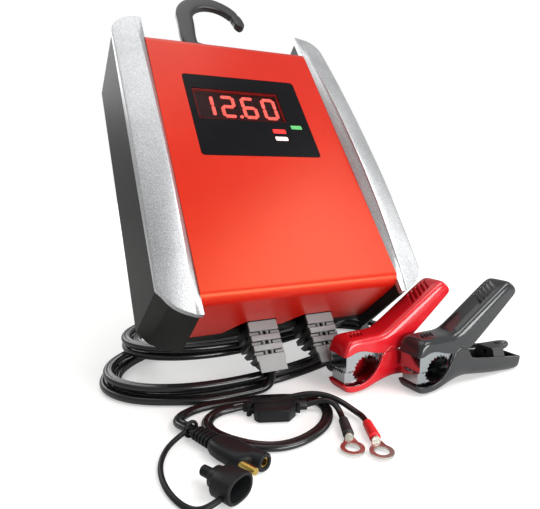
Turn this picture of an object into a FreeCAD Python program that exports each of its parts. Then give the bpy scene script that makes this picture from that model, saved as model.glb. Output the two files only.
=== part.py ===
"""Car battery charger, leaning on its own coiled cables, with clamps and a ring-terminal lead.

Millimetres, +Z up, the surface it stands on at z = 0, +X to the right and +Y to the back.
"""
import FreeCAD
import Part
import math
import os

Vector = FreeCAD.Vector
Rotation = FreeCAD.Rotation
Placement = FreeCAD.Placement

doc = FreeCAD.newDocument("battery_charger")

# Driving dimensions

SIZES = {
    # Where the housing stands: the front bottom bend's centre, and how far it leans back
    "bend_right": -35.42, "bend_back": -98.55, "bend_up": 75.0, "lean_deg": 38.6, "wall": 2.5,
    "cover_wide": 150.0, "cover_high": 252.0, "cover_deep": 60.0, "cover_round": 8.0,
    "unit_wide": 202.0, "unit_deep": 75.0, "flare": 5.0,
    "ridge_right": 81.0, "ridge_crown": 11.0, "edge_crown": 8.0, "crown_up": 115.0,
    "overlay_wide": 101.0, "overlay_high": 87.0, "overlay_thick": 0.8, "overlay_low": 117.5,
    "window_wide": 76.0, "window_high": 34.0, "window_low": 155.0,
    "digit_high": 24.0, "digit_wide": 13.0, "digit_step": 18.6, "digit_low": 160.5,
    "segment_wide": 2.6,
    "panel_board_wide": 112.0, "panel_board_high": 96.0, "board_thick": 1.6,
    "power_board_wide": 136.0, "power_board_high": 168.0,
    "core_wide": 62.0, "core_high": 52.0, "core_deep": 26.0,
    "sink_wide": 74.0, "sink_high": 46.0, "sink_deep": 24.0, "fin_step": 8.0, "fin_thick": 1.8,
    "can_radius": 8.0, "can_tall": 26.0, "choke_radius": 11.0, "choke_wire": 4.5,
    "relay_wide": 19.0, "relay_deep": 16.0, "relay_high": 15.5,
    "hook_thick": 7.0, "hook_radius": 35.0, "hook_up": 307.5, "hook_back": 20.0,
    "stem_radius": 4.0, "collar_radius": 9.5, "collar_high": 6.0,
    "boot_wide": 22.0, "boot_deep": 28.0, "boot_front": 44.0, "boot_long": 38.0,
    "dc_boot_right": -20.8, "ac_boot_right": 26.4,
    "cord_thick": 6.0, "lead_thick": 4.4, "harness_thick": 3.8, "twin_thick": 5.6, "connector_up": 5.0,
    "coil_half_long": 128.0, "coil_half_wide": 61.0, "coil_egg": 0.2, "coil_tilt_deg": 9.0,
    "coil_step": 8.3, "coil_layer": 6.7,
    "clamp_wide": 22.0, "clamp_wall": 1.9, "jaw_plate": 1.6, "pivot_along": 33.0, "pivot_up": 21.0,
    "pivot_radius": 2.5, "pivot_play": 0.06, "tooth_high": 1.5,
    "ring_outer": 6.8, "ring_hole": 4.2, "ring_thick": 1.2,
}

sheet = doc.addObject("Spreadsheet::Sheet", "sizes")
for row, (name, value) in enumerate(SIZES.items(), start=1):
    sheet.set("A%d" % row, name)
    sheet.set("B%d" % row, str(value))
    sheet.setAlias("B%d" % row, name)
doc.recompute()


def size(name):
    """A driving dimension, read back from the sheet."""
    return float(getattr(sheet, name))


LEAN = size("lean_deg")
WALL = size("wall")
BEND = Vector(size("bend_right"), size("bend_back"), size("bend_up"))
UNIT = Placement(BEND, Rotation(Vector(1, 0, 0), -LEAN))
FLOOR_LEVEL = 0.0

parts = []


def keep(piece, label):
    """Register a finished sub-part under the name of its node."""
    piece.Label = label
    parts.append(piece)
    return piece


def shaped(label, shape, place=None):
    """A sub-part whose solid is worked out with Part's own functions."""
    piece = doc.addObject("Part::Feature", label)
    piece.Shape = shape
    piece.Placement = place or Placement()
    return keep(piece, label)


def bind(piece, **expressions):
    """Tie properties of a piece to cells of the sheet."""
    for name, expression in expressions.items():
        piece.setExpression(name, expression)
    return piece


# Profiles

def corner_loop(points):
    """Edges of a closed outline in a plane: (x, y) or (x, y, radius) per corner."""
    count = len(points)
    ends = []
    arcs = []
    for index, point in enumerate(points):
        here = Vector(point[0], point[1], 0)
        radius = point[2] if len(point) > 2 else 0.0
        before = Vector(points[index - 1][0], points[index - 1][1], 0)
        after = Vector(points[(index + 1) % count][0], points[(index + 1) % count][1], 0)
        to_before = (before - here).normalize()
        to_after = (after - here).normalize()
        if not radius:
            ends.append((here, here))
            arcs.append(None)
            continue
        half = to_before.getAngle(to_after) / 2
        trim = radius / math.tan(half)
        start = here + to_before * trim
        finish = here + to_after * trim
        centre = here + (to_before + to_after).normalize() * (radius / math.sin(half))
        middle = centre + (here - centre).normalize() * radius
        ends.append((start, finish))
        arcs.append(Part.Arc(start, middle, finish))
    curves = []
    for index in range(count):
        if arcs[index]:
            curves.append(arcs[index])
        start = ends[index][1]
        finish = ends[(index + 1) % count][0]
        if (finish - start).Length > 1e-6:
            curves.append(Part.LineSegment(start, finish))
    return curves


def face_of(points, plane="XY", level=0.0):
    """A flat face on a closed outline, in the XY, XZ or YZ plane at a level."""
    wire = Part.Wire([curve.toShape() for curve in corner_loop(points)])
    face = Part.Face(wire)
    if plane == "XZ":
        face.rotate(Vector(0, 0, 0), Vector(1, 0, 0), 90)
        face.translate(Vector(0, level, 0))
    elif plane == "YZ":
        face.rotate(Vector(0, 0, 0), Vector(1, 0, 0), 90)
        face.rotate(Vector(0, 0, 0), Vector(0, 0, 1), 90)
        face.translate(Vector(level, 0, 0))
    else:
        face.translate(Vector(0, 0, level))
    return face


def slab(points, start, depth, plane="XZ"):
    """A prism on an outline: from start, depth along the plane's positive axis."""
    axis = {"XZ": Vector(0, 1, 0), "YZ": Vector(1, 0, 0), "XY": Vector(0, 0, 1)}[plane]
    return face_of(points, plane, start).extrude(axis * depth)


def block(low, high):
    """A plain block between two corners."""
    return Part.makeBox(high[0] - low[0], high[1] - low[1], high[2] - low[2], Vector(*low))


def rod(start, finish, radius):
    """A round bar between two points."""
    start, finish = Vector(*start), Vector(*finish)
    return Part.makeCylinder(radius, (finish - start).Length, start, finish - start)


def sketch_on(body, role, name, loops):
    """A sketch with the given closed loops on one of the body's origin planes."""
    sketch = body.newObject("Sketcher::SketchObject", name)
    plane = [item for item in body.Origin.OriginFeatures if item.Role == role][0]
    sketch.AttachmentSupport = [(plane, "")]
    sketch.MapMode = "FlatFace"
    for loop in loops:
        for curve in loop:
            sketch.addGeometry(curve, False)
    return sketch


def circle_loop(along, up, radius):
    """One round loop for a sketch."""
    return [Part.Circle(Vector(along, up, 0), Vector(0, 0, 1), radius)]


def rectangle(low, high, radius=0.0):
    """Corners of a rectangle, rounded by a radius."""
    return [(low[0], low[1], radius), (high[0], low[1], radius), (high[0], high[1], radius),
            (low[0], high[1], radius)]


def pad(body, sketch, length, both_ways=False, backwards=False):
    """Pad a sketch by a length or by an expression of the sheet."""
    feature = body.newObject("PartDesign::Pad", sketch.Name + "_pad")
    feature.Profile = sketch
    feature.SideType = "Symmetric" if both_ways else "One side"
    feature.Reversed = backwards
    if isinstance(length, str):
        feature.setExpression("Length", length)
    else:
        feature.Length = length
    sketch.Visibility = False
    return feature


def pocket(body, sketch, length, both_ways=False, backwards=False):
    """Pocket a sketch by a length or by an expression of the sheet."""
    feature = body.newObject("PartDesign::Pocket", sketch.Name + "_pocket")
    feature.Profile = sketch
    feature.SideType = "Symmetric" if both_ways else "One side"
    feature.Reversed = backwards
    if isinstance(length, str):
        feature.setExpression("Length", length)
    else:
        feature.Length = length
    sketch.Visibility = False
    return feature


def new_body(label, place):
    """An empty body at its place."""
    body = doc.addObject("PartDesign::Body", label)
    body.Placement = place
    return keep(body, label)


def moved(x, y, z, place=UNIT):
    """A placement at a point of the housing's own frame."""
    return place.multiply(Placement(Vector(x, y, z), Rotation()))


# Front cover: the red moulded shell, a channel with a front, a bottom and a top

COVER_HALF = size("cover_wide") / 2
COVER_HIGH = size("cover_high")
COVER_DEEP = size("cover_deep")
BOOT_FRONT = size("boot_front")
BOOT_HALF = size("boot_wide") / 2
BOOT_PLAY = 1.2
OVERLAY_MID = -0.8
OVERLAY_LOW = size("overlay_low")
OVERLAY_HIGH = OVERLAY_LOW + size("overlay_high")
OVERLAY_HALF = size("overlay_wide") / 2
WINDOW_MID = -8.0
WINDOW_LOW = size("window_low")
WINDOW_HIGH = WINDOW_LOW + size("window_high")
WINDOW_HALF = size("window_wide") / 2
SCREW_PLACES = [(-58.0, 22.0), (58.0, 22.0), (-58.0, 232.0), (58.0, 232.0)]
SCREW_RADIUS, BOSS_RADIUS = 1.6, 4.2
BOSS_MEET = COVER_DEEP - 14
COLLAR_NECK = size("collar_radius") - 2
BOARD_LEVEL = 11.6
BOARD_POSTS = [(-51.0, 119.0), (51.0, 119.0), (-51.0, 205.0), (51.0, 205.0)]


def front_cover():
    """Channel profile padded across, then recessed for the display and notched for the boots."""
    body = new_body("front_cover", UNIT)
    bend = size("cover_round")
    inner = bend - WALL
    channel = [(COVER_DEEP, 0), (0, 0, bend), (0, COVER_HIGH, bend + 2), (COVER_DEEP, COVER_HIGH),
               (COVER_DEEP, COVER_HIGH - WALL), (WALL, COVER_HIGH - WALL, inner + 2), (WALL, WALL, inner),
               (COVER_DEEP, WALL)]
    pad(body, sketch_on(body, "YZ_Plane", "channel", [corner_loop(channel)]), "sizes.cover_wide",
        both_ways=True)
    recess = rectangle((OVERLAY_MID - OVERLAY_HALF - 0.3, OVERLAY_LOW - 0.3),
                       (OVERLAY_MID + OVERLAY_HALF + 0.3, OVERLAY_HIGH + 0.3), 3)
    pocket(body, sketch_on(body, "XZ_Plane", "recess", [corner_loop(recess)]), "sizes.overlay_thick",
           backwards=False)
    window = rectangle((WINDOW_MID - WINDOW_HALF + 1.5, WINDOW_LOW + 1.5),
                       (WINDOW_MID + WINDOW_HALF - 1.5, WINDOW_HIGH - 1.5), 1)
    pocket(body, sketch_on(body, "XZ_Plane", "window_hole", [corner_loop(window)]), "sizes.wall",
           backwards=False)
    ramp = 15.0
    left = size("dc_boot_right")
    right = size("ac_boot_right")
    reach = BOOT_HALF + BOOT_PLAY
    front = BOOT_FRONT - BOOT_PLAY
    behind = COVER_DEEP + 1
    arch = [(left - reach - ramp, behind), (left - reach, front, 3), (left + reach, front, 2),
            (left + reach, behind - 6, 2), (right - reach - ramp, behind - 4, 3), (right - reach, front, 3),
            (right + reach, front, 2), (right + reach, behind)]
    pocket(body, sketch_on(body, "XY_Plane", "boot_notches", [corner_loop(arch)]), 2 * WALL,
           backwards=True)
    hole = sketch_on(body, "XY_Plane", "collar_hole", [circle_loop(0, size("hook_back"), COLLAR_NECK + 0.1)])
    hole.AttachmentOffset = Placement(Vector(0, 0, COVER_HIGH + 1), Rotation())
    pocket(body, hole, 2 * WALL)
    bosses = []
    for along, up in SCREW_PLACES:
        bosses += [circle_loop(along, up, BOSS_RADIUS), circle_loop(along, up, SCREW_RADIUS + 0.05)]
    standing = sketch_on(body, "XZ_Plane", "screw_bosses", bosses)
    standing.AttachmentOffset = Placement(Vector(0, 0, 0.3 - WALL), Rotation())
    pad(body, standing, BOSS_MEET - WALL + 0.3, backwards=True)
    posts = [circle_loop(along, up, 3.0) for along, up in BOARD_POSTS]
    standing = sketch_on(body, "XZ_Plane", "board_posts", posts)
    standing.AttachmentOffset = Placement(Vector(0, 0, 0.3 - WALL), Rotation())
    pad(body, standing, BOARD_LEVEL - WALL + 0.3, backwards=True)
    return body


# Rear cover: the dark shell with both side walls and the corners under the wings

UNIT_HALF = size("unit_wide") / 2
UNIT_DEEP = size("unit_deep")
WING_LOW = -8.0
WING_TOP = 274.0
REAR_FRONT = 6.0
POWER_LEVEL = 58.0


def wing_outline(grow=0.0, inset=0.0):
    """Corners of the whole front view, wings included, as (x, z); grow widens, inset shrinks."""
    half = [(COVER_HALF + 0.5 + inset, -0.2 + inset), (COVER_HALF + 2 + inset, WING_LOW + inset),
            (86.0 + grow / 2, -4.0 + inset), (94.0 + grow, 2.6 + inset), (UNIT_HALF + grow - inset, 12.0 + inset),
            (UNIT_HALF + grow - inset, 250.0 - inset), (97.0 + grow - inset, 262.5 - inset),
            (89.0 + grow / 2, 270.5 - inset), (COVER_HALF + 3 + inset, WING_TOP - inset),
            (COVER_HALF + 0.5 + inset, COVER_HIGH + 1 - inset)]
    return half + [(-x, z) for x, z in reversed(half)]


def outline_wire(level, grow=0.0, inset=0.0):
    """The front view as a wire at a depth."""
    points = [Vector(x, level, z) for x, z in wing_outline(grow, inset)]
    return Part.makePolygon(points + points[:1])


def rear_cover():
    """Lofted tub, hollowed, opened for the front cover and cut for vents, screws and boots."""
    flare = size("flare")
    rim = UNIT_DEEP - 7
    outer = Part.makeLoft([outline_wire(REAR_FRONT), outline_wire(rim, flare),
                           outline_wire(UNIT_DEEP, flare - 5, 5)], True, True)
    inner = Part.makeLoft([outline_wire(REAR_FRONT - 1, -0.3, WALL), outline_wire(rim - 1, flare - 0.3, WALL),
                           outline_wire(UNIT_DEEP - WALL, flare - 5, 5 + WALL)], True, True)
    shell = outer.cut(inner)
    gap = 0.3
    shell = shell.cut(block((-COVER_HALF - gap, -1, -WALL * 4), (COVER_HALF + gap, COVER_DEEP + gap, 300)))
    cuts = []
    for right in (size("dc_boot_right"), size("ac_boot_right")):
        cuts.append(block((right - BOOT_HALF - BOOT_PLAY, COVER_DEEP - 1, -12),
                          (right + BOOT_HALF + BOOT_PLAY, UNIT_DEEP - WALL, 6)))
    vent_wide, vent_high, vent_step, vents = 62.0, 3.2, 8.0, 9
    for index in range(vents):
        low = 92.0 + index * vent_step
        cuts.append(slab(rectangle((-vent_wide / 2, low), (vent_wide / 2, low + vent_high), 1.5),
                         UNIT_DEEP - 2 * WALL, 3 * WALL))
    for along, up in SCREW_PLACES:
        cuts.append(rod((along, UNIT_DEEP - 2 * WALL, up), (along, UNIT_DEEP + 1, up), SCREW_RADIUS + 0.05))
    shell = shell.cut(Part.makeCompound(cuts))
    inside_back = UNIT_DEEP - WALL + 0.5
    bosses = [rod((along, BOSS_MEET, up), (along, inside_back, up), BOSS_RADIUS)
              .cut(rod((along, BOSS_MEET - 1, up), (along, UNIT_DEEP + 1, up), SCREW_RADIUS + 0.05))
              for along, up in SCREW_PLACES]
    board_back = POWER_LEVEL + size("board_thick")
    posts = [rod((side * 60, board_back, up), (side * 60, inside_back, up), 3.5)
             for side in (-1, 1) for up in (46.0, 198.0)]
    return shaped("rear_cover", shell.fuse(bosses + posts).removeSplitter(), UNIT)



# Side trims: the silver wings, crowned along their length with a ridge at the red edge

def crown(up):
    """0 at both ends of a wing and 1 at the fullest point, falling as a parabola."""
    middle = size("crown_up")
    span = 125.0 if up < middle else 160.0
    return 1 - ((up - middle) / span) ** 2


def trim_section(up):
    """Closed section of one right-hand trim at a height: an angled skin with a turned rim."""
    skin = 2.4
    ridge = size("ridge_right")
    ridge_y = 2.0 - size("ridge_crown") * crown(up)
    edge_y = 4.5 - size("edge_crown") * crown(up)
    root_y = 3.0
    points = [(COVER_HALF + 0.6, root_y), (ridge - 1.6, ridge_y + 0.8), (ridge, ridge_y), (ridge + 2, ridge_y + 0.2),
              (UNIT_HALF - 3, edge_y - 0.6), (UNIT_HALF, edge_y + 1.5), (UNIT_HALF, REAR_FRONT),
              (UNIT_HALF - skin, REAR_FRONT), (UNIT_HALF - skin, edge_y + skin + 1),
              (ridge + 2, ridge_y + skin + 0.6), (COVER_HALF + 0.6 + skin, root_y + 2.7),
              (COVER_HALF + 0.6, root_y + 2.7)]
    corners = [Vector(x, y, up) for x, y in points]
    return Part.makePolygon(corners + corners[:1])


def side_trim(label, side):
    """One wing: sections lofted up the housing and cut to the rounded end outline."""
    levels = [-14.0, 15.0, 55.0, 100.0, 150.0, 200.0, 240.0, 282.0]
    skin = Part.makeLoft([trim_section(level) for level in levels], True, False)
    half = wing_outline()[:10]
    limit = slab([(x, z) for x, z in half[1:9]] + [(COVER_HALF, WING_TOP + 1), (COVER_HALF, WING_LOW - 0.5)],
                 -20, 40)
    wing = skin.common(limit)
    if side < 0:
        wing = wing.mirror(Vector(0, 0, 0), Vector(1, 0, 0))
    return shaped(label, wing, UNIT)


# Display: overlay film, red window, digit module with raised segments, and indicator lenses

MODULE_FRONT = 3.4
SEGMENT_THICK = 0.9
LAMPS = [(37.0, 149.8, 10.5, 4.5), (19.8, 144.5, 12.0, 4.8), (19.7, 136.5, 11.5, 4.4)]


def display():
    """The stack behind the front cover's recess."""
    overlay = new_body("display_overlay", UNIT)
    thick = size("overlay_thick")
    outline = rectangle((OVERLAY_MID - OVERLAY_HALF, OVERLAY_LOW), (OVERLAY_MID + OVERLAY_HALF, OVERLAY_HIGH), 3)
    hole = rectangle((WINDOW_MID - WINDOW_HALF, WINDOW_LOW), (WINDOW_MID + WINDOW_HALF, WINDOW_HIGH), 1.2)
    loops = [corner_loop(outline), corner_loop(hole)]
    for along, up, wide, high in LAMPS:
        loops.append(corner_loop(rectangle((along - wide / 2, up - high / 2), (along + wide / 2, up + high / 2), 1)))
    pad(overlay, sketch_on(overlay, "XZ_Plane", "overlay_outline", loops), "sizes.overlay_thick", backwards=True)
    play = 0.15
    window = new_body("display_window", UNIT)
    pane = rectangle((WINDOW_MID - WINDOW_HALF + play, WINDOW_LOW + play),
                     (WINDOW_MID + WINDOW_HALF - play, WINDOW_HIGH - play), 1.1)
    pad(window, sketch_on(window, "XZ_Plane", "pane_outline", [corner_loop(pane)]), "sizes.overlay_thick",
        backwards=True)
    lenses = []
    for along, up, wide, high in LAMPS:
        lens = rectangle((along - wide / 2 + play, up - high / 2 + play),
                         (along + wide / 2 - play, up + high / 2 - play), 0.9)
        lenses.append(slab(lens, 0.0, thick))
    shaped("indicator_lenses", Part.makeCompound(lenses), UNIT)
    module = doc.addObject("Part::Box", "led_module")
    bind(module, Length="sizes.window_wide - 4", Height="sizes.window_high - 4")
    module.Width = BOARD_LEVEL - MODULE_FRONT
    module.Placement = moved(WINDOW_MID - WINDOW_HALF + 2, MODULE_FRONT, WINDOW_LOW + 2)
    keep(module, "led_module")
    shaped("led_segments", digits(), UNIT)


# Each digit's lit strokes, by the usual letters: a top, b c right, d bottom, e f left, g middle
STROKES = {"0": "abcdef", "1": "bc", "2": "abged", "3": "abgcd", "4": "fgbc", "5": "afgcd", "6": "afgedc",
           "7": "abc", "8": "abcdefg", "9": "abfgcd"}


def digits():
    """Raised strokes of the four digits 12.60 and their point."""
    wide, high, thick = size("digit_wide"), size("digit_high"), size("segment_wide")
    half = thick / 2
    span = wide - thick
    rise = (high - thick) / 2
    starts = {"a": (0, 2 * rise), "g": (0, rise), "d": (0, 0), "b": (span, rise), "c": (span, 0),
              "e": (0, 0), "f": (0, rise)}
    solids = []
    left = WINDOW_MID - 2 * size("digit_step") + (size("digit_step") - span) / 2
    for place, figure in enumerate("1260"):
        base = left + place * size("digit_step")
        for stroke in STROKES[figure]:
            along, up = starts[stroke]
            along += base
            up += size("digit_low") + half
            if stroke in "agd":
                line = [(along + 0.4, up), (along + half, up + half), (along + span - half, up + half),
                        (along + span - 0.4, up), (along + span - half, up - half), (along + half, up - half)]
            else:
                line = [(along, up + 0.4), (along - half, up + half), (along - half, up + rise - half),
                        (along, up + rise - 0.4), (along + half, up + rise - half), (along + half, up + half)]
            solids.append(slab(line, MODULE_FRONT - SEGMENT_THICK, SEGMENT_THICK))
        if place == 1:
            dot = 1.4
            solids.append(rod((base + span + 3 * dot, MODULE_FRONT - SEGMENT_THICK, size("digit_low") + dot),
                              (base + span + 3 * dot, MODULE_FRONT, size("digit_low") + dot), dot))
    return Part.makeCompound(solids)


# Inside: boards, transformer, heat sink and the larger components

def inside():
    """Pieces on the two boards, in the housing's frame."""
    board = doc.addObject("Part::Box", "display_board")
    bind(board, Length="sizes.panel_board_wide", Height="sizes.panel_board_high", Width="sizes.board_thick")
    board.Placement = moved(-size("panel_board_wide") / 2, BOARD_LEVEL, 114)
    keep(board, "display_board")
    power = doc.addObject("Part::Box", "power_board")
    bind(power, Length="sizes.power_board_wide", Height="sizes.power_board_high", Width="sizes.board_thick")
    power.Placement = moved(-size("power_board_wide") / 2, POWER_LEVEL, 38)
    keep(power, "power_board")

    half, high, deep = size("core_wide") / 2, size("core_high"), size("core_deep")
    build_up = 5.0
    low, limb, yoke = 46.0, 9.5, 10.0
    front = POWER_LEVEL - build_up - deep
    core = block((-half, front, low), (half, front + deep, low + high))
    for side in (-1, 1):
        middle = side * half / 2
        core = core.cut(block((middle - 6, front - 1, low + yoke), (middle + 6, POWER_LEVEL, low + high - yoke)))
    shaped("transformer_core", core, UNIT)
    turns = rectangle((-half / 2 - 5.7, front - build_up), (half / 2 + 5.7, POWER_LEVEL), 4)
    bore = rectangle((-limb - 0.2, front - 0.2), (limb + 0.2, front + deep + 0.2))
    lift = 0.4
    winding = slab(turns, low + yoke + lift, high - 2 * yoke - 2 * lift, "XY")
    winding = winding.cut(slab(bore, low, high, "XY"))
    shaped("transformer_winding", winding, UNIT)

    sink_low = 128.0
    sink_wide, sink_deep = size("sink_wide"), size("sink_deep")
    sink = doc.addObject("PartDesign::Body", "heat_sink")
    sink.Placement = UNIT
    sink_front = POWER_LEVEL - sink_deep
    comb = [(-sink_wide / 2, sink_front)]
    step, fin = size("fin_step"), size("fin_thick")
    base_y = POWER_LEVEL - 5
    along = -sink_wide / 2
    while along + fin < sink_wide / 2 - 0.1:
        comb += [(along + fin, sink_front), (along + fin, base_y)]
        along += step
        if along + fin < sink_wide / 2 + 0.1:
            comb += [(along, base_y), (along, sink_front)]
    comb = comb[:-2] if comb[-1][1] == comb[0][1] else comb
    comb = [point for point in comb if point[0] <= sink_wide / 2 + 0.1]
    comb += [(sink_wide / 2, base_y), (sink_wide / 2, POWER_LEVEL), (-sink_wide / 2, POWER_LEVEL)]
    sketch = sketch_on(sink, "XY_Plane", "sink_comb", [corner_loop(comb)])
    sketch.AttachmentOffset = Placement(Vector(0, 0, sink_low), Rotation())
    pad(sink, sketch, "sizes.sink_high")
    keep(sink, "heat_sink")

    radius, tall = size("can_radius"), size("can_tall")
    cans = [Part.makeCylinder(radius, tall, Vector(along, POWER_LEVEL, up), Vector(0, -1, 0))
            for along, up in ((52.0, 110.0), (52.0, 129.0), (52.0, 148.0), (-52.0, 110.0))]
    shaped("capacitors", Part.makeCompound(cans), UNIT)
    relay = doc.addObject("Part::Box", "output_relay")
    bind(relay, Length="sizes.relay_wide", Width="sizes.relay_deep", Height="sizes.relay_high")
    relay.Placement = moved(-61.0, POWER_LEVEL - size("relay_deep"), 64.0)
    keep(relay, "output_relay")
    choke = doc.addObject("Part::Torus", "inlet_choke")
    bind(choke, Radius1="sizes.choke_radius", Radius2="sizes.choke_wire")
    choke.Placement = UNIT.multiply(Placement(Vector(50.0, POWER_LEVEL - size("choke_wire"), 62.0),
                                              Rotation(Vector(1, 0, 0), 90)))
    keep(choke, "inlet_choke")
    screws = []
    for along, up in SCREW_PLACES:
        shank = rod((along, BOSS_MEET - 12, up), (along, UNIT_DEEP, up), SCREW_RADIUS)
        head = rod((along, UNIT_DEEP, up), (along, UNIT_DEEP + 1.8, up), 3.6)
        cross = block((along - 2, UNIT_DEEP + 1, up - 0.4), (along + 2, UNIT_DEEP + 3, up + 0.4))
        cross = cross.fuse(block((along - 0.4, UNIT_DEEP + 1, up - 2), (along + 0.4, UNIT_DEEP + 3, up + 2)))
        screws.append(shank.fuse(head).cut(cross))
    shaped("cover_screws", Part.makeCompound(screws), UNIT)


# Hook: a question-mark hook that swivels in a collar on the top

HOOK_UP = size("hook_up")
HOOK_BACK = size("hook_back")
COLLAR_TOP = COVER_HIGH + size("collar_high")


def hook():
    """Tapering hook cut from round discs, with an offset neck down to the stem."""
    thick = size("hook_thick")
    start = HOOK_BACK - thick / 2
    big = size("hook_radius")
    outer = rod((0, start, HOOK_UP), (0, start + thick, HOOK_UP), big)
    inner = rod((3, start - 1, HOOK_UP - 1.5), (3, start + thick + 1, HOOK_UP - 1.5), big - 13.5)
    ring = outer.cut(inner)
    ring = ring.cut(slab([(1, HOOK_UP - 60), (1, HOOK_UP - 12), (60, HOOK_UP + 9), (60, HOOK_UP - 60)],
                         start - 1, thick + 2))
    ring = ring.cut(block((-60, start - 1, HOOK_UP - 60), (2, start + thick + 1, HOOK_UP - 8)))
    neck_low = COLLAR_TOP + 5
    neck = slab([(-big, HOOK_UP - 4), (-big - 0.6, neck_low + 3, 13), (-12, neck_low, 5), (5.5, neck_low, 2),
                 (5.5, neck_low + 11, 2), (-18.5, neck_low + 12, 6), (-18.2, HOOK_UP - 4)], start, thick)
    shank = ring.fuse(neck)
    tip = rod((29.2, start, HOOK_UP - 1.6), (29.2, start + thick, HOOK_UP - 1.6), 5.4)
    shank = shank.fuse(tip)
    for angle, deep in ((62.0, 1.4), (50.0, 1.1)):
        notch_x = big * math.sin(math.radians(90 - angle))
        notch_z = big * math.sin(math.radians(angle))
        shank = shank.cut(rod((notch_x, start - 1, HOOK_UP + notch_z), (notch_x, start + thick + 1,
                              HOOK_UP + notch_z), deep))
    shank = shank.removeSplitter()
    stem = rod((0, HOOK_BACK, COVER_HIGH - 14), (0, HOOK_BACK, neck_low + 5), size("stem_radius") - 0.05)
    button = rod((0, HOOK_BACK, COVER_HIGH - 14), (0, HOOK_BACK, COVER_HIGH - 10), 6.5)
    shaped("hook", shank.fuse(stem).fuse(button).removeSplitter(), UNIT)
    radius = size("collar_radius")
    collar = rod((0, HOOK_BACK, COVER_HIGH), (0, HOOK_BACK, COLLAR_TOP), radius)
    collar = collar.fuse(rod((0, HOOK_BACK, COVER_HIGH - 9.5), (0, HOOK_BACK, COVER_HIGH), COLLAR_NECK))
    collar = collar.cut(rod((0, HOOK_BACK, 0), (0, HOOK_BACK, 400), size("stem_radius")))
    edge = [item for item in collar.Edges if abs(item.BoundBox.ZMin - COLLAR_TOP) < 0.01
            and item.BoundBox.XLength > 2 * radius - 1]
    shaped("hook_collar", collar.makeFillet(1.5, edge), UNIT)


# Cord boots: ribbed strain reliefs under the bottom, cut level with the ground

def boot(label, right, drop):
    """Head block, alternating bars and webs, and a foot, all on one core."""
    front = BOOT_FRONT
    deep = size("boot_deep")
    half = BOOT_HALF
    head, bar, slot = 7.5, 4.0, 3.4
    solids = [block((-half, front, -head), (half, front + deep, -0.4)),
              block((-half + 4.5, front + 4, -drop), (half - 4.5, front + deep - 3, -1))]
    level = -head
    while level - slot - bar > -drop + 2:
        for side in (-1, 1):
            stub = (side * (half - 3) - 3, side * (half - 3) + 3)
            solids.append(block((stub[0] - 0.4, front + 1.2, level - slot + 0.7), (stub[1] + 0.4, front + 6.5,
                                level - 0.7)))
            solids.append(rod((side * 2.3, front + 2.2, level - slot), (side * 2.3, front + 2.2, level), 1.3))
        level -= slot
        solids.append(block((-half, front, level - bar), (half, front + deep, level)))
        level -= bar
    solids.append(block((-half + 1, front, -drop), (half - 1, front + deep, level + 1.2)))
    collar = block((-half + 3, front + 3, -1), (half - 3, front + deep - 3, WALL + 3))
    shape = solids[0].fuse(solids[1:] + [collar])
    slope = math.tan(math.radians(LEAN))
    below = slab([(front - 5, -drop - 5 * slope), (front + deep + 5, -drop + (deep + 5) * slope),
                  (front + deep + 5, -drop - 80), (front - 5, -drop - 80)], right - 40, 80, "YZ")
    shape.translate(Vector(right, 0, 0))
    return shaped(label, shape.cut(below).removeSplitter(), UNIT)


# Cords: straight runs joined by tangent arcs

radii = {}


def rounded_path(points, label):
    """A wire through the route: each bend's radius is 0.45 of its shorter run over tan(half turn)."""
    route = [Vector(*point) for point in points]
    edges = []
    at = route[0]
    found = []
    for before, here, after in zip(route, route[1:], route[2:]):
        to_before = before - here
        to_after = after - here
        run = min(to_before.Length, to_after.Length)
        trim = 0.45 * run
        turn = math.pi - to_before.getAngle(to_after)
        radius = trim / math.tan(turn / 2)
        start = here + to_before.normalize() * trim
        finish = here + to_after.normalize() * trim
        inward = (to_before + to_after).normalize()
        centre = here + inward * (radius / math.cos(turn / 2))
        middle = centre - inward * radius
        edges.append(Part.LineSegment(at, start).toShape())
        edges.append(Part.Arc(start, middle, finish).toShape())
        at = finish
        found.append(round(radius, 1))
    edges.append(Part.LineSegment(at, route[-1]).toShape())
    radii[label] = found
    return Part.Wire(edges)


def tube(path, thick, label):
    """A round tube along a wire, its volume compared with its section times its length."""
    start = path.Edges[0].Vertexes[0].Point
    direction = path.Edges[0].tangentAt(path.Edges[0].FirstParameter)
    ring = Part.Wire([Part.Circle(start, direction, thick / 2).toShape()])
    pipe = Part.BRepOffsetAPI.MakePipeShell(path)
    pipe.add(ring)
    pipe.build()
    pipe.makeSolid()
    shape = pipe.shape()
    expected = math.pi * thick ** 2 / 4 * path.Length
    print("%-14s length %7.1f volume over section times length %.4f" % (label, path.Length,
                                                                        shape.Volume / expected))
    return shape


def cord(label, points, thick):
    """One free stretch of cord as its own node."""
    return shaped(label, tube(rounded_path(points, label), thick, label))


# Coils: one unbroken tube, spiralling in on one layer and out again on the next

def arc_pair(start, start_way, finish, finish_way):
    """Two arcs that leave and arrive along the given directions and touch in the middle."""
    gap = finish - start
    ways = start_way + finish_way
    dot = gap.dot(ways)
    spread = 2 * (1 - start_way.dot(finish_way))
    reach = (-dot + math.sqrt(dot * dot + spread * gap.dot(gap))) / spread
    first = start + start_way * reach
    second = finish - finish_way * reach
    joint = (first + second) * 0.5
    arcs = []
    for begin, control, end in ((start, first, joint), (joint, second, finish)):
        weight = math.cos((control - begin).getAngle(end - begin))
        middle = (begin + control * (2 * weight) + end) * (1 / (2 + 2 * weight))
        arcs.append(Part.Arc(begin, middle, end).toShape())
    return arcs


END_RUN = 2.0


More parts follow.
